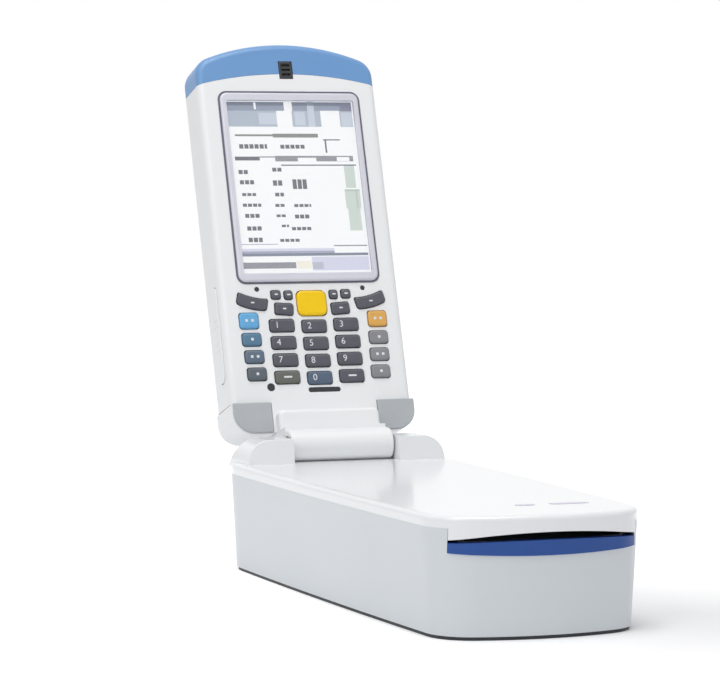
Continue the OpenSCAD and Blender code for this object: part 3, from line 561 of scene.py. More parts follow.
# %% Cradle
HEEL_R, CUP_T, CUP_GAP, CUP_FLOOR = 6, 1.9, 0.4, 3
HEEL_HALF = HOST_HALF - CUP_T - CUP_GAP
CRADLE_FRONT_RIM, CRADLE_BACK_RIM, REST_CORNER = 1.0, 5.0, 5
CHIN_CORNER, CHIN_RIM, CHIN_DEPTH = 0.5, 0.4, 5
# The slot in the cup's floor: half its width, its two ends behind the face, and its corners.
FLOOR_SLOT_HALF, FLOOR_SLOT_FRONT, FLOOR_SLOT_BACK, FLOOR_SLOT_CORNER = 14, 8, 15, 1.5
# Far above the cup, so that what is cut out leaves its top open.
OPEN_TOP = 200


def rounded_face(y0, y1, seam_z, start, moves, front_round, back_round):
    """A solid from an outline of the face, with its rims rounded except along the seam."""
    bm = bmesh.new()
    thicken(bm, half_outline(bm, "face", y0, start, moves), (0, y1 - y0, 0))
    for y, radius in ((y0, front_round), (y1, back_round)):
        if radius:
            rim = [e for e in edges_at(bm, "y", y) if not all(abs(v.co.z - seam_z) < 0.01 for v in e.verts)]
            round_edges(bm, rim, radius, 6)
    return bm


def cup_solid(half, low, high, radius, y0, y1, front_rim=0.0, back_rim=0.0):
    """A block with a flat top and round lower corners, as seen from the front."""
    moves = [(half - radius, low), (half - radius, low + radius, 90, 8), (half, high), (0, high)]
    return rounded_face(y0, y1, high, (0, low), moves, front_rim, back_rim)


cradle = as_object(cup_solid(CUP_HALF, CUP_LOW, CUP_TOP, HEEL_R + CUP_T, PAD_Y1 + HAIRLINE, CUP_BACK,
                             CRADLE_FRONT_RIM, CRADLE_BACK_RIM))
carve(cradle, "UNION",
      cup_solid(NECK + 1, CUP_LOW, CUP_TOP, CHIN_CORNER, CUP_FRONT, FACE_Y + CHIN_DEPTH, CHIN_RIM, CHIN_RIM),
      block((-HEEL_HALF, CUP_BACK - CUP_T, CUP_TOP - 1), (HEEL_HALF, CUP_BACK, high_cup.z), "y", REST_CORNER))
carve(cradle, "DIFFERENCE",
      cup_solid(HEEL_HALF + CUP_GAP, CUP_LOW + CUP_FLOOR, OPEN_TOP, HEEL_R,
                FACE_Y - CUP_GAP, BACK_Y + CUP_GAP),
      block((-FLOOR_SLOT_HALF, FACE_Y + FLOOR_SLOT_FRONT, CUP_LOW - 1),
            (FLOOR_SLOT_HALF, FACE_Y + FLOOR_SLOT_BACK, CUP_LOW + 4), "z", FLOOR_SLOT_CORNER))
dress(cradle, "dock_cradle", LEAN, "dock", [white_abs], ["dock_cup"], soften=0.45)

# %% Corner pads
PAD_INSET, PAD_RIM, PAD_INNER = 0.1, 0.5, NECK + 1.2
pads = as_object(cup_solid(CUP_HALF - PAD_INSET, CUP_LOW, CUP_TOP, HEEL_R + CUP_T, PAD_Y0, PAD_Y1,
                           PAD_RIM, PAD_RIM))
carve(pads, "DIFFERENCE",
      block((-PAD_INNER, PAD_Y0 - 2, CUP_LOW - 2), (PAD_INNER, PAD_Y1 + 2, CUP_TOP + 2)))
dress(pads, "corner_grip_pads", LEAN, "dock", [pad_rubber_and_shade], ["corner_pads"], soften=0.3)

# %% [markdown]
# ## The handheld's shells and cap
# The handheld is a hollow box with soft edges: a front shell, a rear shell and a blue cap over the top.
# One rounded body is drawn, hollowed and then split three ways, so the seams meet exactly. The front
# shell gets a window for the display frame and a well for each key, with room round them.

# %% One rounded body
HOST_TOP = measure("top_cap", LEAN)[1].z
CAP_LOW, SPLIT_Y = high_face.z, high_face.y
CAP_SWEEP_R, CAP_CORNER_R, CAP_DROP = 88, 8, 4.6
STEP_GAP, TUCK, SEAM = 0.3, 2, 0.05
FACE_ROUND, BACK_ROUND = 3.0, 5.0
SIDE_WALL, FACE_WALL, BACK_WALL = 2.4, 2, 3
HEEL_STEP = CUP_TOP + STEP_GAP
cap_cx, cap_sweep_cz = HOST_HALF - CAP_CORNER_R, HOST_TOP - CAP_SWEEP_R
cap_cz = cap_sweep_cz + math.sqrt((CAP_SWEEP_R - CAP_CORNER_R) ** 2 - cap_cx ** 2)
cap_turn = math.degrees(math.atan2(cap_cz - cap_sweep_cz, cap_cx))


def host_solids(inset, y0, y1, front_round=0.0, back_round=0.0):
    """The handheld above the cup, and the narrower heel that stands in the cup."""
    step, tuck, half = HEEL_STEP + inset, HEEL_STEP + inset + TUCK, HEEL_HALF - inset
    return (rounded_face(y0, y1, step, (0, HOST_TOP - inset), [
                (0, cap_sweep_cz, cap_turn - 90, 14), (cap_cx, cap_cz, -cap_turn, 8),
                (HOST_HALF - inset, step), (0, step)], front_round, back_round),
            rounded_face(y0, y1, tuck, (0, tuck), [
                (half, tuck), (half, HEEL_Z + HEEL_R), (HEEL_HALF - HEEL_R, HEEL_Z + HEEL_R, -90, 8),
                (0, HEEL_Z + inset)], front_round, back_round))


def under_cap(y0, y1, gap):
    """Everything below the swept line where the cap starts."""
    reach = HOST_HALF + 6
    r = (HOST_HALF ** 2 + CAP_DROP ** 2) / (2 * CAP_DROP)
    swing = math.degrees(math.asin(reach / r))
    bm = bmesh.new()
    thicken(bm, half_outline(bm, "face", y0, (0, CAP_LOW - gap), [
        (0, CAP_LOW - gap - r, -swing, 20), (reach, 0), (0, 0)]), (0, y1 - y0, 0))
    return bm


upper, heel = host_solids(0, FACE_Y, BACK_Y, FACE_ROUND, BACK_ROUND)
whole = carve(as_object(upper), "UNION", heel)
carve(whole, "DIFFERENCE", *host_solids(SIDE_WALL, FACE_Y + FACE_WALL, BACK_Y - BACK_WALL))
face_shell, back_shell, crown = whole, copy_of(whole), copy_of(whole)
carve(face_shell, "INTERSECT", under_cap(FACE_Y - 2, SPLIT_Y, SEAM))
carve(back_shell, "INTERSECT", under_cap(SPLIT_Y + HAIRLINE, BACK_Y + 2, SEAM))
carve(crown, "DIFFERENCE", under_cap(FACE_Y - 2, BACK_Y + 2, -SEAM))
host_size = (HOST_HALF * 2, BACK_Y - FACE_Y, HOST_TOP - HEEL_Z)
print("handheld", [round(v, 1) for v in host_size], "mm")

# %% Where the keys lie
# Each key is (x, z, width, height, corner radius, turn, bend). The upper function keys sweep up at
# their outer ends, which gives the keypad its smile.
KEY_CORNER, SCAN_CORNER, FN_CORNER, KEY_LIP = 1.3, 2.4, 1.1, 1.3
FN_X, FN_Z = (9.3, 14.4, 11.6, 24.4), (63.0, 63.2, 57.4, 60.0)
FN_W, FN_H = (3.3, 3.8, 7.4, 12.2), (3.4, 3.4, 4.6, 4.6)
FN_TURN, FN_BEND = (0, 0, 4, 14), (0, 0, 0, 0.02)
keys = {}
for name in nodes:
    if name.startswith("key_r") or name == "scan_key":
        low, high = measure(name, LEAN)
        keys[name] = ((low.x + high.x) / 2, (low.z + high.z) / 2, high.x - low.x - KEY_LIP,
                      high.z - low.z - KEY_LIP, SCAN_CORNER if name == "scan_key" else KEY_CORNER, 0, 0)
for i in range(8):
    k, side = i % 4, 1 if i > 3 else -1
    keys["function_key_%d" % (i + 1)] = (side * FN_X[k], FN_Z[k], FN_W[k], FN_H[k], FN_CORNER,
                                         side * FN_TURN[k], FN_BEND[k])


def key_form(key, grow, y0, y1, rim=0.0):
    """A key's rounded plate, bent and turned into its place."""
    x, z, width, height, corner, turn, bend = key
    w, h = width / 2 + grow, height / 2 + grow
    bm = block((-w, y0, -h), (w, y1, h), "y", corner, rim, 0, 5)
    if bend:
        bmesh.ops.subdivide_edges(bm, edges=edges_along(bm, "x"), cuts=9)
        for vert in bm.verts:
            vert.co.z += bend * vert.co.x ** 2
    bm.transform(Matrix.Translation((x, 0, z)) @ Matrix.Rotation(math.radians(-turn), 4, "Y"))
    return bm


print("keys:", len(keys))

# %% Cut the front shell: window, wells, ear-piece, sensors and microphone
low_frame, high_frame = measure("display_frame", LEAN)
low_ear, high_ear = measure("receiver_insert", LEAN)
low_trigger, high_trigger = measure("side_trigger_right", LEAN)
# Each sensor is (x, z, radius).
SENSORS = ((-21.8, 65.6, 0.9), (21.8, 65.6, 0.9), (-20.2, 26.4, 1.5))
SENSOR_GAP, DETAIL_DEPTH, MIC_WELL_R, MIC_R = 0.12, 0.95, 0.9, 0.8
MIC_LOW, MIC_HIGH = Vector((-5.0, FACE_Y + 0.3, 24.1)), Vector((8.0, FACE_Y + DETAIL_DEPTH, 25.9))
TRIGGER_LIP, TRIGGER_CUT, TRIGGER_WELL_R = 0.65, (34, 40), 3.2
trigger_edge = Vector((0, TRIGGER_LIP, TRIGGER_LIP))
trigger_low, trigger_high = low_trigger + trigger_edge, high_trigger - trigger_edge
FRAME_GAP, FRAME_CORNER, KEY_GAP = 0.1, 3, 0.3


def trigger_well(side):
    """The opening for one side trigger, with room all round."""
    x0, x1 = sorted(side * x for x in TRIGGER_CUT)
    return block((x0, trigger_low.y - KEY_GAP, trigger_low.z - KEY_GAP),
                 (x1, trigger_high.y + KEY_GAP, trigger_high.z + KEY_GAP), "x", TRIGGER_WELL_R)


def ear_well():
    """The ear-piece's opening, which runs from the face into the cap."""
    return block(low_ear - Vector((FRAME_GAP, 3, FRAME_GAP)), high_ear + Vector((FRAME_GAP, 0, FRAME_GAP)))


carve(face_shell, "DIFFERENCE",
      block((low_frame.x - FRAME_GAP, FACE_Y - 3, low_frame.z - FRAME_GAP),
            (high_frame.x + FRAME_GAP, FACE_Y + 4, high_frame.z + FRAME_GAP), "y", FRAME_CORNER),
      *[key_form(key, KEY_GAP, FACE_Y - 3, FACE_Y + 4) for key in keys.values()],
      *[rod("y", (x, 0, z), r + SENSOR_GAP, FACE_Y - 3, FACE_Y + 1, steps=24) for x, z, r in SENSORS],
      block(MIC_LOW - Vector((FRAME_GAP, 3, FRAME_GAP)), MIC_HIGH + Vector((FRAME_GAP, 0.05, FRAME_GAP)), "y",
            MIC_WELL_R),
      *[trigger_well(side) for side in (-1, 1)], ear_well())
carve(crown, "DIFFERENCE", ear_well())
dress(face_shell, "handheld_face_shell", LEAN, "host", [white_abs], ["front_housing"],
      soften=0.22)
dress(crown, "handheld_crown_cap", LEAN, "host", [cap_abs], ["top_cap"], soften=0.22)

# %% Cut the rear shell: battery bay and screw wells
low_cells, high_cells = measure("battery_pack", LEAN)
HEAD_R, HEAD_Y = 2.4, measure("host_screws", LEAN)[1].y
# Each pair of screws is (distance from the middle, height).
SCREW_PAIRS = ((28.6, 19), (31.8, 140))
SCREW_SPOTS = [(side * x, z) for x, z in SCREW_PAIRS for side in (-1, 1)]
BAY_GAP, BAY_DEPTH, BAY_CORNER = 0.2, 4.2, 2.6
WELL_GAP, WELL_DEPTH = 0.2, 1.8
carve(back_shell, "DIFFERENCE",
      block((low_cells.x - BAY_GAP, BACK_Y - BAY_DEPTH, low_cells.z - BAY_GAP),
            (high_cells.x + BAY_GAP, BACK_Y + 2, high_cells.z + BAY_GAP), "y", BAY_CORNER),
      together([rod("y", (x, 0, z), HEAD_R + WELL_GAP, HEAD_Y - WELL_DEPTH, BACK_Y + 2, steps=28)
                for x, z in SCREW_SPOTS]))
dress(back_shell, "handheld_back_shell", LEAN, "host", [white_abs], ["rear_housing"],
      soften=0.25)

# %% [markdown]
# ## The ear-piece, sensors and microphone
# Small dark details tell the eye how large the handheld is. The ear-piece is a black insert with three
# sound slots that bridges the cap's seam, and the sensors and the microphone are set a little below
# the face, as on the real moulding.

# %% Ear-piece and face details
EAR_CORNER, EAR_RIM = 1.0, 0.5
# The first sound slot's lower and upper edge, then the slots' spacing, depth and corners.
SOUND_LOW, SOUND_HIGH, SOUND_PITCH, SOUND_DEPTH, SOUND_CORNER = 1.3, 2.2, 1.9, 1.2, 0.4
SENSOR_SINK, SENSOR_RIM, MIC_RIM = 0.1, 0.25, 0.2
ear = as_object(block(low_ear, high_ear, "y", EAR_CORNER, EAR_RIM))
carve(ear, "DIFFERENCE", together([
    block((low_ear.x + 1, low_ear.y - 1, low_ear.z + SOUND_LOW + SOUND_PITCH * k),
          (high_ear.x - 1, low_ear.y + SOUND_DEPTH, low_ear.z + SOUND_HIGH + SOUND_PITCH * k), "y",
          SOUND_CORNER) for k in range(3)]))
dress(ear, "ear_piece_insert", LEAN, "host", [black_gloss], ["receiver_insert"], soften=0.1)
details = [rod("y", (x, 0, z), r, FACE_Y + SENSOR_SINK, FACE_Y + DETAIL_DEPTH, SENSOR_RIM, 24)
           for x, z, r in SENSORS]
details.append(block(MIC_LOW, MIC_HIGH, "y", MIC_R, MIC_RIM))
dress(as_object(together(details)), "face_sensors", LEAN, "host", [black_gloss], ())

# %% [markdown]
# ## The side triggers
# A finger rests on a slim lever in each side of the handheld. It is a long rounded plate with a few fine
# grooves for grip, and a flange behind the wall keeps it in. Each rides on its own sprung body.

# %% Side triggers
LEVER_R, LEVER_RIM, FLANGE_T = 3.0, 0.35, 1
GROOVE_PITCH, GROOVE_HALF, GROOVE_DEPTH = 3, 0.3, 0.25
for side, word in ((-1, "left"), (1, "right")):
    body_name = "side_trigger_" + word
    inner, outer = side * low_trigger.x, side * high_trigger.x
    x0, x1 = sorted((inner, outer))
    rims = (LEVER_RIM, 0) if side < 0 else (0, LEVER_RIM)
    lever = as_object(block((x0, trigger_low.y, trigger_low.z), (x1, trigger_high.y, trigger_high.z), "x",
                            LEVER_R, *rims, 8))
    middle = (trigger_low.z + trigger_high.z) / 2
    carve(lever, "DIFFERENCE", *[
        block((outer - GROOVE_DEPTH, trigger_low.y + 1, middle + GROOVE_PITCH * k - GROOVE_HALF),
              (outer + GROOVE_DEPTH, trigger_high.y - 1, middle + GROOVE_PITCH * k + GROOVE_HALF))
        for k in range(-2, 3)])
    x0, x1 = sorted((inner, inner + side * FLANGE_T))
    carve(lever, "UNION", block((x0, low_trigger.y, low_trigger.z), (x1, high_trigger.y, high_trigger.z),
                                "x", LEVER_R, steps=8))
    dress(lever, body_name + "_lever", LEAN, body_name, [white_abs], [body_name],
          soften=0.12)

# %% [markdown]
# ## The display
# The frame stands a millimetre proud of the face, with a dark line round it that is painted shadow, for
# the shade in the gap between frame and face. Behind the glass, the page is a set of very thin plates,
# one for each block of a results page. The words are only bars, so the page says nothing. A drawn
# texture would do as well, but plates stay sharp from any distance.

# %% Frame, painted shadow line and glass
SCREEN_X, SCREEN_HALF_H = 26.5, 35.5
screen_mid = (low_frame.z + high_frame.z) / 2
SCREEN_Z0, SCREEN_Z1 = screen_mid - SCREEN_HALF_H, screen_mid + SCREEN_HALF_H
FRAME_RIM, SCREEN_CORNER, REBATE, REBATE_Y = 1.0, 0.6, 0.9, 1.0
# Silver-lavender paint over ABS, smooth under a thin clear coat.
frame_paint = finish("silver_painted_abs", "#E3E3EC", "#D3D4E0", 20, 0.5, 0.008, (0.24, 0.36), IOR=1.5,
                     Coat_Weight=0.3)
# Slate rubber gasket, dull.
# Painted shadow: a dull slate line round the frame, standing in for the shade in the gap between frame and
# face.
shadow_line_paint = finish("painted_shadow_gap_line", "#6B6C7C", "#5D5E6E", 6, 0.5, 0.02, (0.5, 0.7), IOR=1.5)
frame_piece = as_object(block(low_frame, high_frame, "y", FRAME_CORNER, FRAME_RIM, 0, 6))
carve(frame_piece, "DIFFERENCE",
      block((-SCREEN_X, low_frame.y - 2, SCREEN_Z0), (SCREEN_X, high_frame.y + 2, SCREEN_Z1), "y",
            SCREEN_CORNER),
      block((-SCREEN_X - REBATE, low_frame.y + REBATE_Y, SCREEN_Z0 - REBATE),
            (SCREEN_X + REBATE, high_frame.y + 2, SCREEN_Z1 + REBATE)))
dress(frame_piece, "display_surround", LEAN, "host", [frame_paint], ["display_frame"],
      soften=0.35)
# The painted shadow line round the frame: its width past the frame, its corners, how far it stands proud and
# its rim.
SHADOW_LINE_WIDTH, SHADOW_LINE_CORNER, SHADOW_LINE_PROUD, SHADOW_LINE_RIM = 0.75, 3.6, 0.22, 0.1
shadow_line = as_object(block((low_frame.x - SHADOW_LINE_WIDTH, FACE_Y - SHADOW_LINE_PROUD, low_frame.z - SHADOW_LINE_WIDTH),
                         (high_frame.x + SHADOW_LINE_WIDTH, FACE_Y + HAIRLINE, high_frame.z + SHADOW_LINE_WIDTH), "y",
                         SHADOW_LINE_CORNER, SHADOW_LINE_RIM))
carve(shadow_line, "DIFFERENCE",
      block((low_frame.x - HAIRLINE, FACE_Y - 2, low_frame.z - HAIRLINE),
            (high_frame.x + HAIRLINE, FACE_Y + 2, high_frame.z + HAIRLINE), "y", FRAME_CORNER))
dress(shadow_line, "display_shadow_line", LEAN, "host", [shadow_line_paint], ())

# %% The page: inks of a lit screen
INKS = {"page": "#FDFDFD", "slate": "#8B95A9", "deep": "#6A7386", "mist": "#A9B4C3", "haze": "#C3CCD8",
        "violet": "#73738C", "bar": "#85838A", "text": "#4A4A52", "olive": "#77766C", "sage": "#C9D5CB",
        "sage_edge": "#B2C0B4", "cream": "#F5F1DE", "lavender": "#D3D4E8", "lilac": "#B9B8C8",
        "line": "#9B9BB0"}
inks = list(INKS)
PAGE_Y = measure("display_panel", LEAN)[0].y
FILM, FILM_LAP, GLOW = 0.02, 0.005, 0.8


def dim(code):
    """The same hue at half the value, for a page that is lit from behind rather than printed."""
    return "#" + "".join("%02X" % (int(code[i:i + 2], 16) // 2) for i in (1, 3, 5))


# A lit liquid-crystal page: each ink glows a little and has the panel's fine matt film.
page_inks = [finish("screen_ink_" + ink, dim(code), dim(code), 5, 0.6, 0.002, (0.45, 0.6), IOR=1.45,
                    Emission_Color=linear(code), Emission_Strength=GLOW) for ink, code in INKS.items()]


def plate(ink, x0, x1, z0, z1, layer=1):
    """A thin plate of one ink. A higher layer lies over a lower one."""
    bm = block((x0, PAGE_Y - FILM * (layer + 1), z0), (x1, PAGE_Y - FILM * layer + FILM_LAP, z1))
    for face in bm.faces:
        face.material_index = inks.index(ink)
    return bm


# %% The page's plates, each (layer, ink, (left, right, low, high))
EDGE, BLEED = SCREEN_X - 0.2, 0.4
plates = [plate("page", -SCREEN_X - BLEED, SCREEN_X + BLEED, SCREEN_Z0 - BLEED, SCREEN_Z1 + BLEED, 0)]
# The banner: a blurred picture of blue-grey patches.
BANNER = (
    (1, "slate", (-EDGE, EDGE, 139.0, SCREEN_Z1)), (2, "deep", (-EDGE, EDGE, SCREEN_Z1 - 1.5, SCREEN_Z1)),
    (1, "mist", (-EDGE, EDGE, 132.4, 139.0)), (2, "haze", (-13.0, -5.5, 133.4, 138.2)),
    (2, "haze", (2.0, 6.4, 133.0, 138.6)), (2, "haze", (7.6, 10.4, 132.4, 143.0)),
    (3, "page", (-5.5, 0.9, 132.4, 139.0)), (3, "page", (-2.1, 1.3, 139.0, 142.6)),
    (3, "page", (-14.6, -13.7, 139.6, 142.4)), (3, "page", (12.9, 20.9, 132.4, 139.1)),
    (2, "violet", (21.5, EDGE, 139.0, 142.2)), (3, "haze", (21.5, EDGE, 132.6, 138.4)))
# Rules and bars of the results table, then the side column and the footer.
RESULTS = (
    (1, "olive", (-23.6, -8.0, 128.4, 129.2)), (1, "olive", (-8.0, 10.9, 127.9, 129.5)),
    (1, "text", (13.4, 14.1, 121.6, 126.8)), (2, "text", (12.8, 19.9, 126.7, 127.2)),
    (1, "text", (-24.6, -14.4, 118.4, 120.0)), (1, "bar", (-14.4, -8.0, 119.6, 120.1)),
    (2, "bar", (-8.0, 24.6, 118.0, 120.3)), (3, "page", (1.4, 9.1, 117.9, 119.5)),
    (3, "page", (17.7, 23.0, 118.1, 119.8)), (1, "text", (-5.8, 25.5, 116.2, 116.7)),
    (1, "sage", (20.3, 24.6, 107.0, 116.2)), (1, "sage", (19.5, 25.8, 98.5, 106.4)),
    (2, "sage_edge", (19.5, 25.8, 105.6, 106.4)), (2, "sage_edge", (24.0, 24.6, 98.5, 105.6)),
    (1, "sage", (20.1, 25.2, 89.4, 98.5)), (1, "line", (-25.7, -10.6, 83.9, 84.2)),
    (1, "bar", (12.4, EDGE, 83.0, 83.5)), (1, "lavender", (-25.7, 12.4, 81.2, 82.3)),
    (1, "line", (-25.7, 12.4, 80.2, 81.2)), (2, "deep", (-25.7, EDGE, 79.2, 80.3)),
    (1, "bar", (-EDGE, -4.1, 74.2, 76.7)), (1, "cream", (-3.7, 2.3, 74.0, 77.2)),
    (1, "lavender", (2.6, EDGE, 73.2, 78.8)), (2, "lilac", (2.6, 7.2, 73.8, 76.6)))
plates += [plate(ink, *where, layer) for layer, ink, where in BANNER + RESULTS]


def words(x, width, low, high):
    """A word as a row of short bars."""
    letter, gap, made = 1.7, 0.4, []
    while width > 0.5:
        made.append(plate("text", x, x + min(letter, width), low, high))
        x, width = x + letter + gap, width - letter - gap
    return made


# Each word is (left, width, low, high).
WORDS = (
    (-22.3, 11.5, 123.3, 125.1), (-5.3, 10.1, 123.3, 124.9), (-23.7, 4.5, 112.8, 114.5),
    (-23.6, 5.8, 108.6, 110.3), (-23.2, 5.7, 103.8, 105.0), (-23.4, 7.6, 99.4, 100.7),
    (-22.9, 6.3, 94.9, 96.5), (-22.6, 6.3, 89.7, 91.4), (-22.5, 5.7, 85.0, 86.8),
    (-9.7, 4.6, 113.8, 115.4), (-10.0, 4.3, 108.0, 110.2), (-9.6, 3.6, 103.6, 105.1),
    (-10.0, 4.5, 99.3, 100.5), (-10.0, 4.5, 95.1, 96.2), (-8.3, 3.0, 91.0, 92.0),
    (-9.6, 8.8, 85.0, 86.2), (-1.9, 6.1, 106.6, 110.6), (-2.2, 7.0, 99.2, 100.4),
    (-2.4, 6.7, 94.5, 96.1), (-4.2, 8.8, 89.7, 91.0))
for word in WORDS:
    plates += words(*word)
page = as_object(together(plates))
dress(page, "screen_page", LEAN, "host", page_inks, ())

# %% [markdown]
# ## The keys
# Silicone keys with a hard crown: each is a rounded plate with a soft rim, whose top is inset and lifted
# a little, and all but the scan key have a printed number or mark. Each key rides on its own body, so it can
# be pressed.

# %% Key finishes and prints
KEY_TOP = measure("key_r2c3", LEAN)[0].y
KEY_FOOT = FACE_Y + 2.4
PRINT_T, DIGIT_SIZE, DIGIT_SHIFT = 0.03, 3.6, 0.22
BAR, FN_BAR, DOT, DOT_APART, MARK_CORNER = (3.4, 0.7), (1.5, 0.6), (1.1, 1.1), 1.2, 0.3
KEY_TINTS = {"slate": ("#51525B", "#5D5E67"), "yellow": ("#FFD500", "#FACB00"),
             "sky": ("#74B8E6", "#5FA8DC"), "steel_blue": ("#527894", "#6084A0"),
             "smoke": ("#5B6C7E", "#66778A"), "amber": ("#EDB356", "#D9A85E"),
             "warm_grey": ("#85858A", "#929297"), "dark_slate": ("#565E67", "#626A72"),
             "blue_slate": ("#4F5F73", "#596A7E"), "olive_grey": ("#62635E", "#6C6D68")}
# Silicone with a hard-coat: satin, each tint drifting a little across the key.
key_coats = {tint: finish("hard_coated_silicone_" + tint, a, b, 6, 0.4, 0.012, (0.30, 0.44), IOR=1.45)
             for tint, (a, b) in KEY_TINTS.items()}
# Screen-printed white ink, slightly raised and matt.
print_ink = finish("white_screen_print", "#E9EAEE", "#DADCE2", 2, 0.3, 0.01, (0.55, 0.7), IOR=1.5)


def number_form(digit, x, z, size):
    """A printed digit as a thin mesh on the key's crown."""
    curve = bpy.data.curves.new("digit", "FONT")
    curve.body, curve.size, curve.extrude = digit, size, PRINT_T
    curve.align_x, curve.align_y = "CENTER", "CENTER"
    holder = bpy.data.objects.new("digit", curve)
    bpy.context.scene.collection.objects.link(holder)
    bpy.context.view_layer.update()
    mesh = bpy.data.meshes.new_from_object(holder.evaluated_get(bpy.context.evaluated_depsgraph_get()))
    bm = bmesh.new()
    bm.from_mesh(mesh)
    bpy.data.meshes.remove(mesh)
    bpy.data.curves.remove(curve)
    bm.transform(Matrix.Translation((x, KEY_TOP, z)) @ Matrix.Rotation(math.pi / 2, 4, "X"))
    return bm


def mark_form(x, z, wide, tall):
    """A printed bar or dot."""
    return block((x - wide / 2, KEY_TOP - PRINT_T, z - tall / 2),
                 (x + wide / 2, KEY_TOP + PRINT_T, z + tall / 2), "y", MARK_CORNER)


def print_for(name, key):
    """The generic print on a key: digits on the middle columns, bars and dots elsewhere."""
    x, z, width = key[:3]
    if name.startswith("key_r"):
        row, column = int(name[5]), int(name[7])
        if 2 <= column <= 4:
            digit = str((row - 1) * 3 + column - 1) if row < 4 else {2: "", 3: "0", 4: ""}[column]
            if digit:
                return [number_form(digit, x - width * DIGIT_SHIFT, z, DIGIT_SIZE)]
            return [mark_form(x, z, *BAR)]
        return [mark_form(x + dx, z, *DOT) for dx in ((-DOT_APART, DOT_APART) if row % 2 else (0,))]
    if name == "scan_key":
        return []
    return [mark_form(x, z, *FN_BAR)]


print("key tints:", len(key_coats))


# %% Make every key
def key_tint(name):
    """A key's tint, and the name of a material slot, which is not used."""
    if name == "scan_key":
        return "yellow", "key_yellow"
    special = {"key_r1c1": ("sky", "key_light_blue"), "key_r2c1": ("steel_blue", "key_slate"),
               "key_r3c1": ("smoke", "key_slate"), "key_r4c1": ("dark_slate", "key_slate"),
               "key_r1c5": ("amber", "key_orange"), "key_r4c2": ("olive_grey", "key_grey"),
               "key_r4c3": ("blue_slate", "key_grey")}
    return special.get(name, ("warm_grey" if name.endswith("c5") else "slate", "key_grey"))


CROWN, CROWN_INSET, KEY_RIM = 0.15, 0.45, 0.7
for name, key in keys.items():
    bm = key_form(key, 0, KEY_TOP + CROWN, KEY_FOOT, KEY_RIM)
    top = min(bm.faces, key=lambda f: f.calc_center_median().y)
    bmesh.ops.inset_region(bm, faces=[top], thickness=CROWN_INSET)
    bmesh.ops.translate(bm, verts=top.verts, vec=(0, -CROWN, 0))
    prints = print_for(name, key)
    for form in prints:
        for face in form.faces:
            face.material_index = 1
    tint, slot = key_tint(name)
    dress(as_object(together([bm] + prints)), name + "_cap", LEAN, name, [key_coats[tint], print_ink],
          [name])

# %% [markdown]
# ## The back of the handheld, the rear ports and the screws
# Nobody sees these in the picture, but the part is used from every side. The battery is a pack with a
# finger grip, the screws have cross recesses, and the reader's rear has a socket and a button.

# %% Battery pack with a grip
PACK_CORNER, PACK_RIM = 2.4, 0.7
# The grip's grooves: half length, first place below the top, spacing, half height, depth and corners.
GRIP_HALF, GRIP_DOWN, GRIP_PITCH, GRIP_BAR, GRIP_DEPTH, GRIP_CORNER = 11, 9, 1.9, 0.5, 0.7, 0.45
# The nail notch above them: half length, lower and upper edge below the top, depth and corners.
NAIL_HALF, NAIL_LOW, NAIL_HIGH, NAIL_DEPTH, NAIL_CORNER = 9, 3.4, 1.2, 1.1, 1.0
pack = as_object(block(low_cells, high_cells, "y", PACK_CORNER, 0, PACK_RIM, 6))
grip_z = high_cells.z - GRIP_DOWN
grooves = [block((-GRIP_HALF, BACK_Y - GRIP_DEPTH, grip_z - GRIP_PITCH * k - GRIP_BAR),
                 (GRIP_HALF, BACK_Y + 1, grip_z - GRIP_PITCH * k + GRIP_BAR), "y", GRIP_CORNER)
           for k in range(4)]
grooves.append(block((-NAIL_HALF, BACK_Y - NAIL_DEPTH, high_cells.z - NAIL_LOW),
                     (NAIL_HALF, BACK_Y + 1, high_cells.z - NAIL_HIGH), "y", NAIL_CORNER))
carve(pack, "DIFFERENCE", together(grooves))
dress(pack, "battery_pack_cover", LEAN, "host", [grey_abs], ["battery_pack"], soften=0.2)


# %% Screws with cross recesses
HEAD_RIM, HEAD_T = 0.35, 1.5
CROSS_W, CROSS_REACH, CROSS_DEPTH = 0.55, 1.15, 0.8


def screw_heads(axis, spots, radius, start, end, outside):
    """Pan heads along an axis, each with a cross cut into its outer end."""
    plane = "face" if axis == "y" else "plan"
    heads, crosses = [], []
    for a, b in spots:
        heads.append(rod(axis, spot(plane, a, b, 0), radius, start, end, HEAD_RIM, 32))
        for wide, tall in ((radius * CROSS_REACH, CROSS_W), (CROSS_W, radius * CROSS_REACH)):
            low = spot(plane, a - wide / 2, b - tall / 2, outside - CROSS_DEPTH)
            high = spot(plane, a + wide / 2, b + tall / 2, outside + CROSS_DEPTH)
            crosses.append(block(low, high))
    made = as_object(together(heads))
    carve(made, "DIFFERENCE", *[together(crosses[k::2]) for k in range(2)])
    return made


dress(screw_heads("y", SCREW_SPOTS, HEAD_R, HEAD_Y - HEAD_T, HEAD_Y, HEAD_Y), "handheld_screw_heads", LEAN,
      "host", [steel], ["host_screws"])
foot_z = measure("reader_screws", DESK)[0].z
FOOT_HEAD_R, BOSS_R, BOSS_LAP = 3, 4, 0.8
BOSS_IN = DRAFT + WALL + BOSS_R - BOSS_LAP
diagonal = math.cos(math.radians(45))
front_boss = (corner_cx + (FRONT_R - BOSS_IN) * diagonal, corner_cy - (FRONT_R - BOSS_IN) * diagonal)
rear_boss = (rear_cx + (REAR_R - BOSS_IN) * diagonal, rear_cy + (REAR_R - BOSS_IN) * diagonal)
boss_spots = [(side * x, y) for x, y in (front_boss, rear_boss) for side in (-1, 1)]
dress(screw_heads("z", boss_spots, FOOT_HEAD_R, foot_z, foot_z + HEAD_T, foot_z), "reader_screw_heads", DESK,
      "reader", [steel], ["reader_screws"])

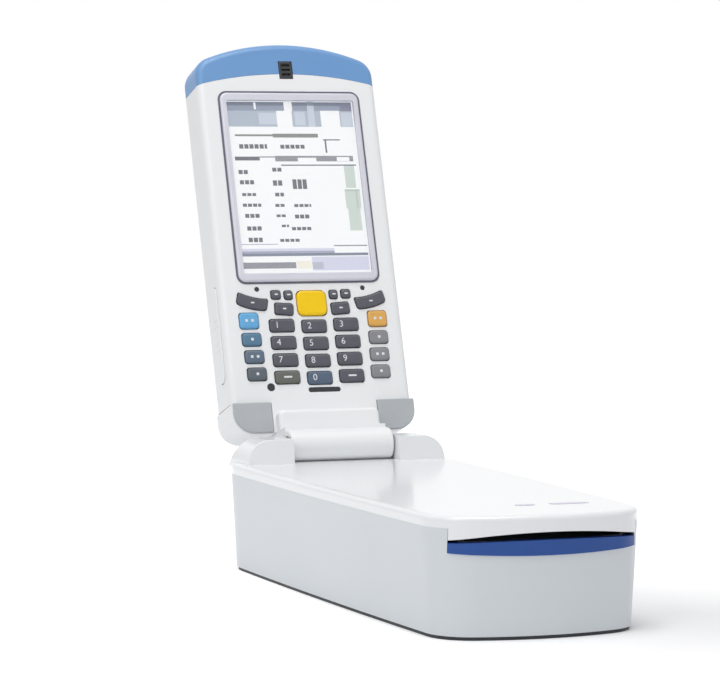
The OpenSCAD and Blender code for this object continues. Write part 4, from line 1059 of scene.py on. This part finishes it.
# %% Power button and socket sleeve
BUTTON_R, BUTTON_RIM, DISH_INSET, DISH_DEPTH = 4, 0.5, 0.9, 0.45
SLEEVE_R, SLEEVE_BORE_R, SLEEVE_RIM = 3.45, 2.85, 0.2
SLEEVE_IN, SLEEVE_OUT = REAR - 3.2, REAR - 0.75
low_button, high_button = measure("power_button", DESK)
button_bm = rod("y", (BUTTON_X, 0, PORT_Z), BUTTON_R, low_button.y, high_button.y, BUTTON_RIM, 40)
outer_face = max(button_bm.faces, key=lambda f: f.calc_center_median().y)
bmesh.ops.inset_region(button_bm, faces=[outer_face], thickness=DISH_INSET)
bmesh.ops.translate(button_bm, verts=outer_face.verts, vec=(0, -DISH_DEPTH, 0))
dress(as_object(button_bm), "power_button_cap", DESK, "power_button", [grey_abs], ["power_button"])
sleeve = as_object(rod("y", (JACK_X, 0, PORT_Z), SLEEVE_R, SLEEVE_IN, SLEEVE_OUT, SLEEVE_RIM, 40))
carve(sleeve, "DIFFERENCE", rod("y", (JACK_X, 0, PORT_Z), SLEEVE_BORE_R, REAR - 6, REAR + 2))
dress(sleeve, "power_socket_sleeve", DESK, "reader", [black_gloss], ())

# %% [markdown]
# ## What stays as it came
# The guide, the drive, the boards, the pin and the bushes are already the right shape, so each keeps its
# node and only gets its finish.

# %% Finishes on the kept nodes
# Hard-coated touch glass: nearly clear, with a soft reflection.
touch_film = finish("hard_coated_touch_glass", "#EEF3FA", "#E6EDF7", 30, 1.0, 0.001, (0.06, 0.12), IOR=1.50,
                    Alpha=0.10)
# The panel's grey polariser lies behind the page and shows only at its edge.
polariser = finish("grey_polariser_film", "#9AA4B4", "#8C97A8", 20, 0.8, 0.002, (0.3, 0.4), IOR=1.5)
# The sole is a real bottom plate, and its black is painted shadow for the dark gap along the reader's foot.
kept = {"base_plate": black_nylon_and_shadow_sole, "card_guide": black_nylon_and_shadow_sole, "drive_carriage": black_nylon_and_shadow_sole,
        "contact_head": steel, "lead_screw": steel, "drive_motor": steel, "hinge_pin": steel,
        "hinge_bushes": bronze, "reader_board": board_lacquer, "host_board": board_lacquer,
        "reader_battery": cell_wrap, "touch_glass": touch_film, "display_panel": polariser}
for name, material in kept.items():
    nodes[name].data.materials.clear()
    nodes[name].data.materials.append(material)
print("kept nodes:", len(kept))

# %% [markdown]
# ## Camera, light and floor
# The camera stands about 1.2 m away with a long lens, low and to the left, as the product picture was
# taken. One large soft lamp overhead does most of the work, two weak ones fill the left and the right,
# and the world gives an even pale light. The floor reads white to the camera, with a painted shadow to
# the right of and in front of the reader, laid over the lamps' own soft shadow.

# %% Camera
AZIMUTH, ELEVATION, DISTANCE, TARGET = -20.41, 3.37, 1.1734, Vector((-0.00978, 0.040, 0.0871))
LENS, SENSOR = 160.97, 36
camera_data = bpy.data.cameras.new("camera")
camera_data.lens, camera_data.sensor_width = LENS, SENSOR
camera_data.clip_start, camera_data.clip_end = 0.05, 100
camera = bpy.data.objects.new("camera", camera_data)
bpy.context.scene.collection.objects.link(camera)
azimuth, elevation = math.radians(AZIMUTH), math.radians(ELEVATION)
level = math.cos(elevation)
toward_camera = Vector((math.sin(azimuth) * level, -math.cos(azimuth) * level, math.sin(elevation)))
camera.location = TARGET + toward_camera * DISTANCE
camera.rotation_mode = "QUATERNION"
camera.rotation_quaternion = (-toward_camera).to_track_quat("-Z", "Y")
bpy.context.scene.camera = camera
print("camera at", [round(v, 3) for v in camera.location])


# %% Lamps
def lamp(name, location, size, watts, aim=Vector((0, 0, 0.08))):
    """A square soft lamp that faces the object."""
    data = bpy.data.lights.new(name, "AREA")
    data.shape, data.size, data.energy = "SQUARE", size, watts
    obj = bpy.data.objects.new(name, data)
    obj.location = location
    obj.rotation_mode = "QUATERNION"
    obj.rotation_quaternion = (aim - obj.location).to_track_quat("-Z", "Y")
    bpy.context.scene.collection.objects.link(obj)
    return obj


lamp("key_softbox", Vector((-1.1, -0.7, 1.1)), 0.9, 5)
lamp("top_softbox", Vector((-0.1, -0.15, 1.5)), 1.0, 11.5)
lamp("right_fill", Vector((1.3, -0.9, 0.7)), 0.8, 0.6)
print("lamps:", len(bpy.data.lights))

# %% World and floor
world = bpy.data.worlds.new("pale_studio")
bpy.context.scene.world = world
world.use_nodes = True
sky = world.node_tree
sky.nodes.clear()
WHITE, AMBIENT = linear("#FFFFFF"), 0.38
seen = add_node(sky, "ShaderNodeLightPath", {})
direct = add_node(sky, "ShaderNodeMath", {"operation": "MAXIMUM"},
                  [(0, seen.outputs["Is Camera Ray"]), (1, seen.outputs["Is Transmission Ray"])])
watched = add_node(sky, "ShaderNodeMath", {"operation": "MAXIMUM"},
                   [(0, direct.outputs[0]), (1, seen.outputs["Is Glossy Ray"])])
glow = add_node(sky, "ShaderNodeBackground", {"Color": WHITE, "Strength": AMBIENT})
backdrop = add_node(sky, "ShaderNodeBackground", {"Color": WHITE, "Strength": 1.0})
choice = add_node(sky, "ShaderNodeMixShader", {},
                  [(0, watched.outputs[0]), (1, glow.outputs[0]), (2, backdrop.outputs[0])])
add_node(sky, "ShaderNodeOutputWorld", {}, [("Surface", choice.outputs[0])])

FLOOR_HALF = 12
floor_bm = bmesh.new()
bmesh.ops.create_grid(floor_bm, x_segments=2, y_segments=2, size=FLOOR_HALF)
floor = as_object(floor_bm, "studio_floor")
paper = bpy.data.materials.new("white_paper_sweep")
paper.use_nodes = True
sheet = paper.node_tree
sheet.nodes.clear()
rays = add_node(sheet, "ShaderNodeLightPath", {})
lit = add_node(sheet, "ShaderNodeMath", {"operation": "MAXIMUM"},
               [(0, rays.outputs["Is Camera Ray"]), (1, rays.outputs["Is Glossy Ray"])])
# The paper glows towards white for the camera and in reflections, least round a spot on the side away
# from the key lamp: a painted shadow there, laid over the lamps' own soft shadow.
PAINTED_SHADOW_SPOT = Vector((0.06, -0.09, 0))
SHADOW_NEAR, SHADOW_FAR, LIFT_NEAR, LIFT_FAR = 0.02, 0.30, 0.02, 0.70
place = add_node(sheet, "ShaderNodeTexCoord", {}).outputs["Object"]
away = add_node(sheet, "ShaderNodeVectorMath", {"operation": "DISTANCE", 1: PAINTED_SHADOW_SPOT}, [(0, place)])
rise = add_node(sheet, "ShaderNodeMapRange", {"From Min": SHADOW_NEAR, "From Max": SHADOW_FAR,
                                              "To Min": LIFT_NEAR, "To Max": LIFT_FAR},
                [("Value", away.outputs["Value"])])
lift = add_node(sheet, "ShaderNodeMath", {"operation": "MULTIPLY"},
                [(0, lit.outputs[0]), (1, rise.outputs["Result"])])
matt = add_node(sheet, "ShaderNodeBsdfDiffuse", {"Color": linear("#F4F4F5")})
shine = add_node(sheet, "ShaderNodeEmission", {"Color": WHITE}, [("Strength", lift.outputs[0])])
both = add_node(sheet, "ShaderNodeAddShader", {}, [(0, matt.outputs[0]), (1, shine.outputs[0])])
add_node(sheet, "ShaderNodeOutputMaterial", {}, [("Surface", both.outputs[0])])
floor.data.materials.append(paper)
bpy.context.scene.view_settings.view_transform = "Standard"
print("floor", FLOOR_HALF * 2, "m wide")
